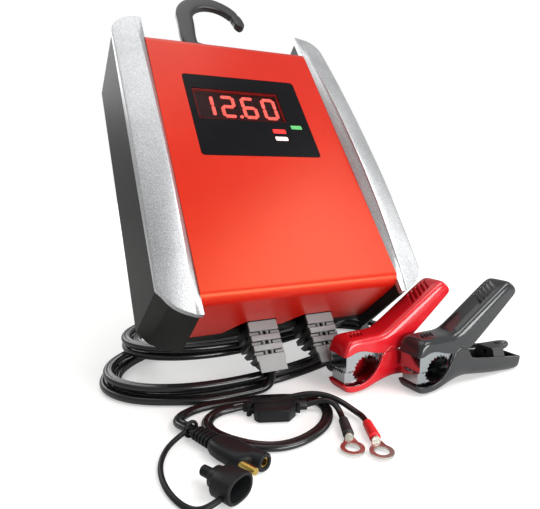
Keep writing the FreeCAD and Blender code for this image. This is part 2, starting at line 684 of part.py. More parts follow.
def coil_point(coil, turned):
    """A point of a coil's middle line after a number of degrees turned.

    An egg-shaped oval, half_long by half_wide with its left lobe fatter, shrinks by one step a
    turn to the half-way mark and grows again after it; it climbs a layer in the half turn there.
    """
    total = coil["turned"]
    inwards = min(turned, total - turned) / 360 * size("coil_step")
    angle = math.radians(coil["start"] + coil["way"] * turned)
    climb = min(max((turned - total / 2 + 90) / 180, 0), 1)
    rise = coil["low"] + size("coil_layer") * (3 * climb ** 2 - 2 * climb ** 3)
    long = coil["half_long"] - inwards
    wide = coil["half_wide"] * (1 - size("coil_egg") * math.cos(angle)) - inwards
    along = long * math.cos(angle)
    across = wide * math.sin(angle)
    tilt = math.radians(size("coil_tilt_deg"))
    return Vector(coil["centre"][0] + along * math.cos(tilt) - across * math.sin(tilt),
                  coil["centre"][1] + along * math.sin(tilt) + across * math.cos(tilt), rise)


def coil_wire(coil):
    """Arc pairs of an eighth of a turn each way through the coil's line, with straight ends."""
    steps = max(4, round(coil["turned"] / 45))
    small = 0.01
    knots = []
    for index in range(steps + 1):
        turned = coil["turned"] * index / steps
        low = max(turned - small, 0)
        high = min(turned + small, coil["turned"])
        way = (coil_point(coil, high) - coil_point(coil, low)).normalize()
        if index in (0, steps):
            way.z = 0
            way.normalize()
        knots.append((coil_point(coil, turned), way))
    lead = size("cord_thick")
    first, last = knots[0], knots[-1]
    edges = [Part.LineSegment(first[0] - first[1] * lead, first[0]).toShape()]
    for (start, start_way), (finish, finish_way) in zip(knots, knots[1:]):
        edges += arc_pair(start, start_way, finish, finish_way)
    edges.append(Part.LineSegment(last[0], last[0] + last[1] * lead).toShape())
    return Part.Wire(edges)


def least_gap(wire, thick):
    """The least gap of a wound tube to itself, on points 4 mm apart along its middle line."""
    points = wire.discretize(Distance=4.0)
    nearest = 1e9
    for index, here in enumerate(points):
        for other in points[index + 12:]:
            nearest = min(nearest, (here - other).Length)
    return nearest - thick


def coil_of(label, coil):
    """One coil as its own node; returns its two ends, each with a point further out in its line."""
    wire = coil_wire(coil)
    shaped(label, tube(wire, size("cord_thick"), label))
    print("%-14s least gap to itself %.2f" % (label, least_gap(wire, size("cord_thick"))))
    first, last = wire.Edges[0], wire.Edges[-1]
    start, finish = first.Vertexes[0].Point, last.Vertexes[-1].Point
    before = start - (first.Vertexes[-1].Point - start) * END_RUN
    after = finish + (finish - last.Vertexes[0].Point) * END_RUN
    return (tuple(start), tuple(before)), (tuple(finish), tuple(after))


def at_bend(x, y, z):
    """A point given from the bend's centre line on the ground, moved into the part's frame."""
    return (size("bend_right") + x, size("bend_back") + y, z)


# Clamps: each in its own frame, x from the jaws to the handles, y across, z up from the ground

CLAMP_HALF = size("clamp_wide") / 2
PIVOT_X, PIVOT_Z = size("pivot_along"), size("pivot_up")
CLAMP_TURN = 4.0
CLIP_FRONT, CLIP_BACK, LEAD_UP = 72.0, 84.0, 16.5
EYE_MIDDLE, EYE_HALF, EYE_RISE = 12.5, 12.0, 10.5
JAW_FRONT = -5.8


def clamp_place(x, y):
    """Where a clamp lies: its near front corner on the ground, turned a little to the left."""
    turn = Rotation(Vector(0, 0, 1), CLAMP_TURN)
    corner = Vector(*at_bend(x, y, 0))
    return Placement(corner + turn.multVec(Vector(0, CLAMP_HALF, 0)), turn)


def disc(radius, half):
    """A disc around the clamp's pivot, as wide as twice half."""
    return rod((PIVOT_X, -half, PIVOT_Z), (PIVOT_X, half, PIVOT_Z), radius)


def grip(outline, hollow, top, edge_radius):
    """A handle: a profile across the clamp, its outer edges rounded, hollowed to a channel."""
    solid = slab(outline, -CLAMP_HALF, 2 * CLAMP_HALF)
    picked = []
    for edge in solid.Edges:
        box = edge.BoundBox
        if box.YLength < 0.01 and edge.Length > 4 and top(edge.CenterOfMass.x, edge.CenterOfMass.z):
            picked.append(edge)
    solid = solid.makeFillet(edge_radius, picked)
    inner = CLAMP_HALF - size("clamp_wall")
    return solid.cut(slab(hollow, -inner, 2 * inner))


def upper_grip(label, place):
    """Jaw cover, waist and rising handle, with grip ribs near its end."""
    outline = [(-8, 28.5, 1), (-6.2, 34, 2), (-1, 39.8, 5), (27.5, 39.8, 9), (80, 72.8, 4), (86.5, 72.4, 3),
               (91, 65.5, 2), (42.5, 28.5, 6), (25, 26.5), (6, 31.5, 4), (-5.8, 28.2)]
    hollow = [(-5.9, 15), (-5.9, 31.5), (0.3, 37.6, 4), (28, 37.6, 8), (80.2, 70.4, 2), (85.6, 68, 1), (88, 62),
              (60, 20), (30, 5)]
    solid = grip(outline, hollow, lambda x, z: z > 33 and z > 0.62 * x + 20, 1.8)
    solid = solid.cut(disc(9.2, CLAMP_HALF + 1))
    slope = Rotation(Vector(0, 1, 0), -math.degrees(math.atan2(33.0, 52.5)))
    for index in range(5):
        rib = block((-1.1, -7.5, -0.8), (1.1, 7.5, 1.0))
        rib.Placement = Placement(Vector(62.0 + 3.6 * index, 0, 61.8 + 2.26 * index), slope)
        solid = solid.fuse(rib)
    return shaped(label, solid.removeSplitter(), place)


def lower_grip(label, place):
    """Jaw cradle, round hinge cheeks and the handle that lies on the ground."""
    outline = [(-7.6, 6.2, 1), (-3, 0.5, 3), (10, 0.5, 6), (38, 6.5, 12), (60, 3.4, 12), (97, 0, 3), (103, 1.8, 2),
               (103.2, 10.6, 2), (44, 20), (26, 18), (14, 8, 4), (4, 5), (-6, 8, 1)]
    hollow = [(-5.9, 40), (-5.9, 5.5), (0, 2.6, 2), (10, 2.6, 5), (38, 8.6, 12), (60, 5.5, 12), (97, 2.1, 2),
              (101.2, 4), (101.2, 40)]
    solid = grip(outline, hollow, lambda x, z: 10 < x < 90 and z < 8 and z < 0.3 * x, 0.9)
    inner = CLAMP_HALF - size("clamp_wall")
    cheeks = disc(8.8, CLAMP_HALF).cut(disc(9, inner))
    return shaped(label, solid.fuse(cheeks).removeSplitter(), place)


def teeth(start, finish, count, high, side):
    """Zigzag between two points, the tips on one side."""
    start, finish = Vector(start[0], start[1], 0), Vector(finish[0], finish[1], 0)
    along = finish - start
    out = Vector(-along.y, along.x, 0).normalize() * (high * side)
    points = []
    for index in range(count):
        base = start + along * (index / count)
        tip = start + along * ((index + 0.5) / count) + out
        points += [(base.x, base.y), (tip.x, tip.y)]
    return points


def eye_edge(up, sign):
    """Toothed half oval of the jaw's round grip, sign +1 over and -1 under its middle."""
    count = 11
    points = []
    for index in range(2 * count + 1):
        angle = math.pi * (1 - index / (2 * count))
        lift = size("tooth_high") if index % 2 else 0.0
        points.append((EYE_MIDDLE + (EYE_HALF - lift) * math.cos(angle),
                       up + sign * (EYE_RISE - lift) * math.sin(angle)))
    return points


def jaw(label, profile, inner, outer, web, tooth_row, place):
    """Two toothed plates joined by a front plate and a web."""
    hole = disc(size("pivot_radius") + size("pivot_play"), outer + 1)
    plates = slab(profile, -outer, outer - inner).fuse(slab(profile, inner, outer - inner)).cut(hole)
    front = slab(tooth_row, JAW_FRONT, size("jaw_plate"), "YZ")
    return shaped(label, plates.fuse([front, web]).removeSplitter(), place)


def jaws(name, place):
    """Upper and lower jaw of one clamp."""
    plate = size("jaw_plate")
    high = size("tooth_high")
    wide = CLAMP_HALF - size("clamp_wall") - 0.2
    line = 16.6
    profile = teeth((JAW_FRONT, line), (0.5, line), 3, high * 0.6, 1) + eye_edge(line, 1)
    profile += [(26, 16.4), (33, 14.5), (39.5, 19), (39.5, 25), (28, 36), (2, 36), (JAW_FRONT, 31)]
    row = teeth((-wide, line), (wide, line), 7, high, 1) + [(wide, line), (wide, 31), (-wide, 31)]
    web = block((3, -wide, 36 - plate), (27, wide, 36))
    jaw(name + "_upper_jaw", profile, wide - plate, wide, web, row, place)
    line = 15.9
    inner_wide = wide - plate - 0.2
    profile = teeth((JAW_FRONT, line), (0.5, line), 3, high * 0.6, -1) + eye_edge(line, -1)
    profile += [(26, 22), (30, 27), (36, 27), (39.5, 21), (36, 12), (22, 5.2), (12, 3.2), (2, 3.2),
                (JAW_FRONT, 6)]
    row = teeth((-inner_wide, line), (inner_wide, line), 6, high, -1)
    row += [(inner_wide, line), (inner_wide, 6), (-inner_wide, 6)]
    web = block((2, -inner_wide, 3.2), (12, inner_wide, 3.2 + plate))
    jaw(name + "_lower_jaw", profile, inner_wide - plate, inner_wide, web, row, place)


def spring_wire(radius, wire, turns, half):
    """Helix round the pivot's axis as arc pairs of a quarter turn, its ends run out straight."""
    steps = int(turns * 4)
    knots = []
    for index in range(steps + 1):
        angle = 2 * math.pi * index / 4
        slope = 2 * half / (turns * 2 * math.pi)
        point = Vector(PIVOT_X + radius * math.cos(angle), -half + slope * angle,
                       PIVOT_Z + radius * math.sin(angle))
        way = Vector(-radius * math.sin(angle), slope, radius * math.cos(angle)).normalize()
        knots.append((point, way))
    edges = [Part.LineSegment(knots[0][0] - knots[0][1] * wire * 2, knots[0][0]).toShape()]
    for (start, start_way), (finish, finish_way) in zip(knots, knots[1:]):
        edges += arc_pair(start, start_way, finish, finish_way)
    edges.append(Part.LineSegment(knots[-1][0], knots[-1][0] + knots[-1][1] * wire * 2).toShape())
    return Part.Wire(edges)


def clamp(name, place):
    """All the pieces of one clamp."""
    upper_grip(name + "_upper_grip", place)
    lower_grip(name + "_lower_grip", place)
    jaws(name, place)
    inner = CLAMP_HALF - size("clamp_wall")
    pin = disc(size("pivot_radius"), inner)
    pin.Placement = place
    spring = tube(spring_wire(4.4, 1.5, 3.5, 3.6), 1.5, name + "_spring")
    spring.Placement = place
    bore = rod((CLIP_FRONT - 1, 0, LEAD_UP), (CLIP_BACK + 1, 0, LEAD_UP), size("lead_thick") / 2 - 0.4)
    clip = slab([(-inner, 6.5), (inner, 6.5), (inner, 14, 2), (7, 21, 3), (-7, 21, 3), (-inner, 14, 2)],
                CLIP_FRONT, CLIP_BACK - CLIP_FRONT, "YZ")
    shaped(name + "_lead_clip", clip.cut(bore), place)
    return pin, spring


# Cord routes, given from the bend's centre line on the ground

RED_PLACE = clamp_place(29.0, -12.5)
BLACK_PLACE = clamp_place(74.0, -34.5)
SPLIT = Vector(*at_bend(131.5, 60.0, 4.0))
BOOT_LINE = 16.5
BOOT_LEVEL = size("bend_up") - BOOT_FRONT * math.sin(math.radians(LEAN))
BOOT_LEVEL -= size("boot_long") * math.cos(math.radians(LEAN))

DC_COIL = {"centre": at_bend(-3.0, 85.0, 0), "half_long": size("coil_half_long"),
           "half_wide": size("coil_half_wide"), "start": -135.0, "way": -1, "turned": 945.0, "low": 3.2}
AC_COIL = {"centre": at_bend(2.0, 118.0, 0), "half_long": size("coil_half_long") - 12,
           "half_wide": size("coil_half_wide") - 5, "start": -60.0, "way": 1, "turned": 1170.0, "low": 16.5}


def on_clamp(place, x, y, z):
    """A point of a clamp's frame in the part's frame."""
    point = place.multVec(Vector(x, y, z))
    return (point.x, point.y, point.z)


def leads():
    """Clamp leads from each handle's clip back to the moulded split."""
    thick = size("lead_thick")
    aside = 2.8
    red = [on_clamp(RED_PLACE, *point) for point in
           ((CLIP_BACK, 0, LEAD_UP), (95, 0, LEAD_UP), (104.5, 4.5, 16), (109, 14, 11.8), (108, 24, 6.8))]
    red += [(SPLIT.x - aside, SPLIT.y - 18, SPLIT.z), (SPLIT.x - aside, SPLIT.y - 8, SPLIT.z)]
    black = [on_clamp(BLACK_PLACE, *point) for point in
             ((CLIP_BACK, 0, LEAD_UP), (95, 0, LEAD_UP), (106, 5, 16.5), (112, 18, 11.5), (109, 31, 5.4))]
    black += [at_bend(168, 26, 2.8), at_bend(157, 28.5, 2.5), at_bend(147, 31, 2.6), at_bend(139, 36, 3.4),
              (SPLIT.x + aside, SPLIT.y - 17, SPLIT.z), (SPLIT.x + aside, SPLIT.y - 8, SPLIT.z)]
    cord("red_lead", red, thick)
    cord("black_lead", black, thick)
    shape = slab([(-4, -8, 1), (4, -8, 1), (6, -6, 2), (3.6, 8, 2), (-3.6, 8, 2), (-6, -6, 2)], -3.4, 6.8, "XY")
    shaped("lead_split", shape, Placement(SPLIT, Rotation()))


def charger_cords():
    """Direct-current cable and mains cord, each with its coil, and the plug."""
    thick = size("cord_thick")
    start, finish = coil_of("dc_coil", DC_COIL)
    foot = at_bend(size("dc_boot_right"), BOOT_LINE, 0)
    down = [(foot[0], foot[1], BOOT_LEVEL), (foot[0], foot[1], 9.0), (foot[0] - 4.5, foot[1] + 0.2, 4.4),
            (foot[0] - 12, foot[1] + 0.2, 3.3), (foot[0] - 27, foot[1] - 0.6, 3.2), start[1], start[0]]
    cord("dc_cable", down, thick)
    tail = [finish[0], finish[1], (SPLIT.x, SPLIT.y + 18, 5.2), (SPLIT.x, SPLIT.y + 8, SPLIT.z)]
    cord("dc_tail", tail, thick)
    start, finish = coil_of("ac_coil", AC_COIL)
    foot = at_bend(size("ac_boot_right"), BOOT_LINE, 0)
    feed = [(foot[0], foot[1], BOOT_LEVEL), (foot[0], foot[1], 10.5), (foot[0] + 7, foot[1] + 1.5, 6.4),
            (foot[0] + 15, foot[1] + 6, 9.2), (foot[0] + 19, foot[1] + 14.5, 14.6),
            (foot[0] + 18.6, foot[1] + 25.5, 16.9), (foot[0] + 16.8, foot[1] + 37.5, 16.8),
            (foot[0] + 17.4, foot[1] + 49.3, 16.6), start[1], start[0]]
    cord("ac_cord", feed, thick)
    plug_back = at_bend(6.0, 197.0, 8.5)
    away = Vector(*finish[1]) - Vector(*finish[0])
    away.normalize()
    clear = Vector(*finish[1]) + away * 14
    tail = [finish[0], tuple(clear), (clear.x - 14, clear.y + 9, 20.0),
            (clear.x - 28, clear.y + 17, 14.5), (plug_back[0] + 15, plug_back[1], 9.5),
            (plug_back[0] + 4, plug_back[1], 8.5), plug_back]
    cord("ac_tail", tail, thick)
    plug(plug_back)


def plug(back):
    """Two-blade mains plug lying flat: tapered strain relief, body and two blades."""
    x, y, z = back
    rings = []
    for along, wide, high in ((0, 7.4, 7.0), (-14, 10, 8.4), (-17, 20, 12), (-36, 24, 16), (-40, 22, 14)):
        rings.append(face_of(rectangle((y - wide / 2, z - high / 2), (y + wide / 2, z + high / 2), 2), "YZ",
                             x + along).OuterWire)
    body = Part.makeLoft(rings, True, True)
    shaped("plug_body", body)
    blades = [block((x - 57, y + side * 6.35 - 0.75, z - tall / 2), (x - 40, y + side * 6.35 + 0.75, z + tall / 2))
              for side, tall in ((-1, 6.3), (1, 7.9))]
    shaped("plug_blades", Part.makeCompound(blades))


# Battery lead: connector with its dust cap, fuse holder and two ring terminals

SAE_BACK = at_bend(-87.0, -24.0, 0)
SAE_TURN = -66.5
CAP_BACK = at_bend(-93.5, -66.0, 0)
CAP_TURN = -62.0
FUSE_LEFT = at_bend(-47.0, -9.0, 0)
FUSE_TURN = -20.0
RING_PLACES = {"black": (at_bend(-12.0, -71.0, 0), -113.0), "red": (at_bend(0.5, -80.5, 0), -110.0)}


def lying(origin, turn):
    """A frame on the ground at a point, turned about the vertical."""
    return Placement(Vector(origin[0], origin[1], 0), Rotation(Vector(0, 0, 1), turn))


def connector():
    """Flat two-pole connector: ribbed strain relief, body with one shrouded and one bare contact."""
    place = lying(SAE_BACK, SAE_TURN)
    high = 9.6
    middle = size("connector_up")
    rings = []
    for along, wide, tall in ((15, 9.5, 7.0), (22, 17, 9.2), (34, 18.5, high), (50, 17, high)):
        rings.append(face_of(rectangle((-wide / 2, middle - tall / 2), (wide / 2, middle + tall / 2), 2.2), "YZ",
                             along).OuterWire)
    body = Part.makeLoft(rings, True, True)
    for index in range(5):
        body = body.fuse(slab(rectangle((-5 - 0.2 * index, middle - 3.6), (5 + 0.2 * index, middle + 3.6), 2),
                              1.0 + 2.9 * index, 1.7, "YZ"))
    body = body.fuse(slab(rectangle((-3.6, middle - 2.6), (3.6, middle + 2.6), 1.5), 0, 16, "YZ"))
    bare = block((42, -10, middle - 6), (51, -0.4, middle + 6))
    body = body.cut(bare)
    body = body.cut(rod((40, 4.4, middle), (51, 4.4, middle), 2.9))
    body = body.cut(rod((38, -4.4, middle), (51, -4.4, middle), 1.9))
    shaped("sae_connector", body.removeSplitter(), place)
    pin = rod((38, -4.4, middle), (51.5, -4.4, middle), 1.9)
    sleeve = rod((40, 4.4, middle), (49, 4.4, middle), 2.5).cut(rod((41, 4.4, middle), (50, 4.4, middle), 1.9))
    shaped("sae_contacts", Part.makeCompound([pin, sleeve]), place)


def dust_cap():
    """Soft cap for the connector: a stepped cup with a small tail, its ring on the cable."""
    place = lying(CAP_BACK, CAP_TURN)
    middle = 7.4
    cup = slab(rectangle((-9.5, middle - 7.2), (9.5, middle + 7.2), 4.5), 9, 13, "YZ")
    cup = cup.fuse(slab(rectangle((-7, middle - 5.6), (7, middle + 5.6), 3), 5, 6, "YZ"))
    cup = cup.fuse(rod((-3, 0, middle), (6, 0, middle), 3.8))
    cup = cup.cut(slab(rectangle((-7.4, middle - 5.2), (7.4, middle + 5.2), 3), 10.5, 13, "YZ"))
    shaped("dust_cap", cup.removeSplitter(), place)


def fuse_holder():
    """In-line blade-fuse holder with a cap that swings on its left end."""
    place = lying(FUSE_LEFT, FUSE_TURN)
    body = slab(rectangle((0, 0.6), (31, 8.6), 1.5), 0, 6.5, "XZ").cut(block((5, -1, 2.4), (26, 3, 6.8)))
    body = body.fuse(rod((-5, 3.2, 4.2), (1, 3.2, 4.2), 3.2)).fuse(rod((30, 3.2, 4.2), (36, 3.2, 4.2), 3.2))
    body = body.fuse(block((29.5, -4, 2.2), (31, 1, 7)).fuse(block((28.7, -4.0, 2.2), (31, -3, 7))))
    knuckle = rod((-1.5, -1.6, 0.6), (-1.5, -1.6, 2.8), 1.5).fuse(rod((-1.5, -1.6, 6.4), (-1.5, -1.6, 8.6), 1.5))
    knuckle = knuckle.fuse(block((-2.4, -1.6, 0.6), (0.4, 1.2, 2.8))).fuse(block((-2.4, -1.6, 6.4), (0.4, 1.2, 8.6)))
    body = body.fuse(knuckle).fuse(rod((-1.5, -1.6, 0.6), (-1.5, -1.6, 8.6), 0.65))
    shaped("fuse_holder", body.removeSplitter(), place)
    outline = [(1.6, -0.3), (28, -0.3), (28, -5, 1), (23, -12, 2), (4, -12, 3), (1.6, -8, 2)]
    cap = slab(outline, 0.8, 7.6, "XY")
    cap = cap.cut(slab([(4.2, 1), (25.6, 1), (25.6, -4.6), (21.8, -10, 1), (5.2, -10, 1), (4.2, -7)], 2.2, 4.8,
                       "XY"))
    cap = cap.fuse(rod((-1.5, -1.6, 3.0), (-1.5, -1.6, 6.2), 1.5)).fuse(block((-1.5, -2.6, 3.0), (2, -0.6, 6.2)))
    cap = cap.cut(rod((-1.5, -1.6, -1), (-1.5, -1.6, 10), 0.7))
    shaped("fuse_cap", cap.removeSplitter(), place)
    fuse = block((6, -6.5, 2.6), (23.6, -0.6, 6.4))
    blades = [block((along, -0.8, 4.1), (along + 5, 2.9, 4.9)) for along in (6.6, 18.0)]
    shaped("blade_fuse", fuse.fuse(blades), place)


def ring_terminals():
    """Two crimped rings, each with its sleeve; the ring's bore takes a battery bolt."""
    outer, hole, thick = size("ring_outer"), size("ring_hole"), size("ring_thick")
    rest = 1.6
    for name, (origin, turn) in RING_PLACES.items():
        place = lying(origin, turn)
        ring = rod((0, 0, rest), (0, 0, rest + thick), outer)
        neck = slab([(-outer - 4, -2.6), (-outer + 2, -4.4), (-outer + 2, 4.4), (-outer - 4, 2.6)], rest, thick, "XY")
        barrel = rod((-outer - 10, 0, 3.0), (-outer - 3.5, 0, 3.0), 2.4)
        terminal = ring.fuse([neck, barrel]).cut(rod((0, 0, 0), (0, 0, 9), hole))
        shaped(name + "_ring", terminal.removeSplitter(), place)
        sleeve = Part.makeCone(2.9, 3.3, 16, Vector(-outer - 22, 0, 3.3), Vector(1, 0, 0))
        sleeve = sleeve.cut(rod((-outer - 10, 0, 3.0), (-outer, 0, 3.0), 2.4))
        shaped(name + "_sleeve", sleeve, place)


def battery_lead():
    """The twin cable's loop, its single tails and the dust cap's tether."""
    single = size("harness_thick")
    flat = 3.0
    over = 8.2
    level = size("connector_up")
    plugged = lying(SAE_BACK, SAE_TURN)
    back = [tuple(plugged.multVec(Vector(*point))) for point in ((0, 0, level), (-9.5, 0, level))]
    loop = [(-93.5, -4.5, 3.6), (-88.0, 5, flat), (-74, 10.5, flat), (-54, 9, flat), (-33, 5.5, flat),
            (-14, -1.5, flat), (-2.5, -9.5, flat), (0.5, -20, flat), (-4, -33, flat), (-16, -45.5, flat),
            (-33, -53, flat), (-48, -53.5, flat), (-61, -46.5, flat), (-71, -35, flat), (-77, -24, flat),
            (-78, -14, flat), (-74.8, -7.2, flat), (-69.1, -2.4, flat), (-61.9, -0.4, flat), (-55.9, -1.1, flat)]
    cord("harness_twin", back + [at_bend(*point) for point in loop], size("twin_thick"))
    tail = [(-55.7, 1.2, flat), (-48.5, 1.8, flat), (-38, 0.4, flat), (-26, -3.0, 3.4),
            (-15.5, -7.5, 6.0), (-7, -12, over), (2, -18, over), (9, -26, 5.8), (12, -38, 3.7)]
    sleeve_back = -size("ring_outer") - 22
    red = [tuple(lying(*RING_PLACES["red"]).multVec(Vector(sleeve_back - out, 0, 3.3))) for out in (8, 0)]
    cord("red_tail", [at_bend(*point) for point in tail] + red, single)
    holder = lying(FUSE_LEFT, FUSE_TURN)
    cord("fuse_feed", [at_bend(-56.2, -3.2, 3.4), tuple(holder.multVec(Vector(-5, 3.2, 4.0)))], single)
    out = [tuple(holder.multVec(Vector(36, 3.2, 4.2)))]
    black = [tuple(lying(*RING_PLACES["black"]).multVec(Vector(sleeve_back - out, 0, 3.3))) for out in (7, 0)]
    tail = [(-6.3, -20.4, 6.0), (-1.2, -24.8, over), (2.2, -31.0, 7.2)]
    cord("black_tail", out + [at_bend(*point) for point in tail] + black, single)
    low = 1.7
    held = plugged.multVec(Vector(-5, -4.4, level))
    tether = [(-100.5, -24.5, 3.2), (-107.5, -32, low), (-112.5, -45, low), (-113.5, -59, low),
              (-111.5, -72, low), (-107, -82.5, low)]
    cap = lying(CAP_BACK, CAP_TURN)
    end = [tuple(cap.multVec(Vector(17, side, 4.6))) for side in (-17.5, -9.5)]
    strap = tube(rounded_path([tuple(held)] + [at_bend(*point) for point in tether] + end, "cap_tether"), 3.0,
                 "cap_tether")
    axis = plugged.multVec(Vector(1, 0, 0)) - plugged.multVec(Vector(0, 0, 0))
    ring = Part.makeTorus(4.1, 1.05, plugged.multVec(Vector(-5, 0, level + 0.25)), axis)
    shaped("cap_tether", strap.fuse(ring).removeSplitter())


front_cover()
rear_cover()
side_trim("left_trim", -1)
side_trim("right_trim", 1)
display()
inside()
hook()
boot("dc_boot", size("dc_boot_right"), size("boot_long"))
boot("ac_boot", size("ac_boot_right"), size("boot_long"))
red_pin, red_spring = clamp("red", RED_PLACE)
black_pin, black_spring = clamp("black", BLACK_PLACE)
shaped("pivot_pins", Part.makeCompound([red_pin, black_pin]))
shaped("clamp_springs", Part.makeCompound([red_spring, black_spring]))
leads()
charger_cords()
connector()
dust_cap()
fuse_holder()
ring_terminals()
battery_lead()

doc.recompute()
for piece in parts:
    if "Invalid" in piece.State or "Error" in piece.State or piece.Shape.isNull() or not piece.Shape.isValid():
        raise RuntimeError("bad sub-part " + piece.Label)
os.makedirs("parts", exist_ok=True)
for piece in parts:
    piece.Shape.exportStep("parts/%s.step" % piece.Label)
for label, found in radii.items():
    print("%-14s bend radii %s" % (label, found))
print(len(parts), "sub-parts")
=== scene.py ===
import math

import bmesh
import bpy
import numpy as np
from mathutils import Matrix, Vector


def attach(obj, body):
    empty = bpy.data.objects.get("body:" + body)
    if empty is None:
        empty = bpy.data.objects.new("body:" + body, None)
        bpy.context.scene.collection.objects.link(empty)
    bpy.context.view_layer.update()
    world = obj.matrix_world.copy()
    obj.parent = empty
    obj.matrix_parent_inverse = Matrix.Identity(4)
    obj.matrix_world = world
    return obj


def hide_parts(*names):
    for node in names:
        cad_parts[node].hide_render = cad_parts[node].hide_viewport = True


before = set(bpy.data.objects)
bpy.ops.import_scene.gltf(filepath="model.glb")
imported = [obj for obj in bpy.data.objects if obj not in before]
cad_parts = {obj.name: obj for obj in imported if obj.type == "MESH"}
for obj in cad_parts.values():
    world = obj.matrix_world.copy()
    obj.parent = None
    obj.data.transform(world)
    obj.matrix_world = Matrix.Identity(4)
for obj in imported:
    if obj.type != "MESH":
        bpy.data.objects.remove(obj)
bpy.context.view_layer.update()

# The room
# A plain white surround that the camera and glass see, and mirrors in part. It lights the object
# less than half as strongly as it looks, as a studio's walls do.


def linear(code):
    """A colour written as sRGB hex, turned to linear values by the standard's two-part curve."""
    part = np.array([int(code[at:at + 2], 16) for at in (0, 2, 4)]) / 255
    curved = np.where(part <= 0.04045, part / 12.92, ((part + 0.055) / 1.055) ** 2.4)
    return (*(float(value) for value in curved), 1.0)


def add(tree, kind, inputs=None, **settings):
    """Adds a node: settings are its properties, inputs are values or (node, output) links."""
    made = tree.nodes.new(kind)
    for name, value in settings.items():
        setattr(made, name, value)
    for name, value in (inputs or {}).items():
        if isinstance(value, tuple) and isinstance(value[0], bpy.types.Node):
            tree.links.new(value[0].outputs[value[1]], made.inputs[name])
        else:
            made.inputs[name].default_value = value
    return made


def blank(name):
    """A new material, its node tree and its Principled shader."""
    material = bpy.data.materials.new(name)
    material.use_nodes = True
    return material, material.node_tree, material.node_tree.nodes["Principled BSDF"]


WHITE_BACK = 1.0
SURROUND = 0.42
MIRRORED = 0.15


def seen_directly(tree):
    """1 for camera and glass rays, which see the white, a part for mirror rays, 0 for the rest."""
    path = add(tree, "ShaderNodeLightPath")
    seen = add(tree, "ShaderNodeMath",
               {0: (path, "Is Glossy Ray"), 1: MIRRORED, 2: (path, "Is Camera Ray")},
               operation="MULTIPLY_ADD")
    return add(tree, "ShaderNodeMath", {0: (seen, "Value"), 1: (path, "Is Transmission Ray")},
               operation="ADD", use_clamp=True)


world = bpy.data.worlds.new("surround")
bpy.context.scene.world = world
world.use_nodes = True
sky = world.node_tree
background = sky.nodes["Background"]
background.inputs["Color"].default_value = (1, 1, 1, 1)
direct = seen_directly(sky)
strength = add(sky, "ShaderNodeMapRange",
               {"Value": (direct, "Value"), "To Min": SURROUND, "To Max": WHITE_BACK})
sky.links.new(strength.outputs["Result"], background.inputs["Strength"])

# Table top
# White laminate. Part of its white is given to the camera alone, less of it near the object as
# painted shade round it, and the rest is lit, so that the object's shadow stays soft and grey on it.

# Metres from the origin, and the share of white that the camera gets near and far: the lower share near is
# painted shade.
FLOOR_HALF = 3.0
NEAR, FAR = 0.3, 1.1
NEAR_LIFT, FAR_LIFT = 0.38, 1.0
floor_mesh = bpy.data.meshes.new("floor")
floor_mesh.from_pydata([(-FLOOR_HALF, -FLOOR_HALF, 0), (FLOOR_HALF, -FLOOR_HALF, 0),
                        (FLOOR_HALF, FLOOR_HALF, 0), (-FLOOR_HALF, FLOOR_HALF, 0)], [], [(0, 1, 2, 3)])
floor = bpy.data.objects.new("floor", floor_mesh)
bpy.context.scene.collection.objects.link(floor)
laminate, tree, shader = blank("white_laminate")
shader.inputs["Base Color"].default_value = linear("dcdcda")
shader.inputs["Roughness"].default_value = 0.55
direct = seen_directly(tree)
glow = add(tree, "ShaderNodeEmission", {"Color": (1, 1, 1, 1)})
where = add(tree, "ShaderNodeTexCoord")
far = add(tree, "ShaderNodeVectorMath", {0: (where, "Object")}, operation="LENGTH")
# Painted shade: the camera's white falls off near the object, darkening the floor round it.
painted_shade_near_object = add(tree, "ShaderNodeMapRange",
           {"Value": (far, "Value"), "From Min": NEAR, "From Max": FAR,
            "To Min": NEAR_LIFT, "To Max": FAR_LIFT})
lift = add(tree, "ShaderNodeMath", {0: (direct, "Value"), 1: (painted_shade_near_object, "Result")}, operation="MULTIPLY")
tree.links.new(lift.outputs["Value"], glow.inputs["Strength"])
both = add(tree, "ShaderNodeAddShader", {0: (shader, "BSDF"), 1: (glow, "Emission")})
tree.links.new(both.outputs["Shader"], tree.nodes["Material Output"].inputs["Surface"])
floor_mesh.materials.append(laminate)

# Lamps and camera
# Five softboxes: a key over the camera's right shoulder, one overhead, one at the right, a wide
# low one in front and one behind. The camera has the photograph's lens, place and tilt.


def softbox(name, place, target, wide, high, power):
    """A rectangular area lamp at a place, its face turned to a target."""
    lamp = bpy.data.lights.new(name, "AREA")
    lamp.shape = "RECTANGLE"
    lamp.size = wide
    lamp.size_y = high
    lamp.energy = power
    holder = bpy.data.objects.new(name, lamp)
    bpy.context.scene.collection.objects.link(holder)
    holder.location = place
    holder.rotation_euler = (Vector(target) - Vector(place)).to_track_quat("-Z", "Y").to_euler()


softbox("key", (0.38, -0.54, 0.86), (-0.03, -0.07, 0.09), 0.62, 0.45, 5.2)
softbox("top", (-0.25, 0.25, 1.12), (-0.25, 0.25, 0.2), 0.95, 0.75, 2.9)
softbox("right", (1.1, -0.2, 0.5), (0.1, -0.05, 0.05), 0.5, 0.45, 1.3)
softbox("front", (0.22, -0.95, 0.2), (0.0, -0.05, 0.06), 0.9, 0.3, 10.5)
softbox("back", (-0.3, 0.95, 0.65), (-0.05, 0.0, 0.18), 0.8, 0.6, 4.0)

CAMERA_PLACE = (-0.189654, -0.372991, 0.147162)
LOOK_DOWN = 8.667
LOOK_RIGHT = 24.405
lens = bpy.data.cameras.new("camera")
lens.lens = 31.88
lens.sensor_width = 36.0
lens.clip_start = 0.01
camera = bpy.data.objects.new("camera", lens)
bpy.context.scene.collection.objects.link(camera)
camera.location = CAMERA_PLACE
camera.rotation_euler = (math.radians(90 - LOOK_DOWN), 0, math.radians(-LOOK_RIGHT))
bpy.context.scene.camera = camera
bpy.context.scene.view_settings.view_transform = "Standard"

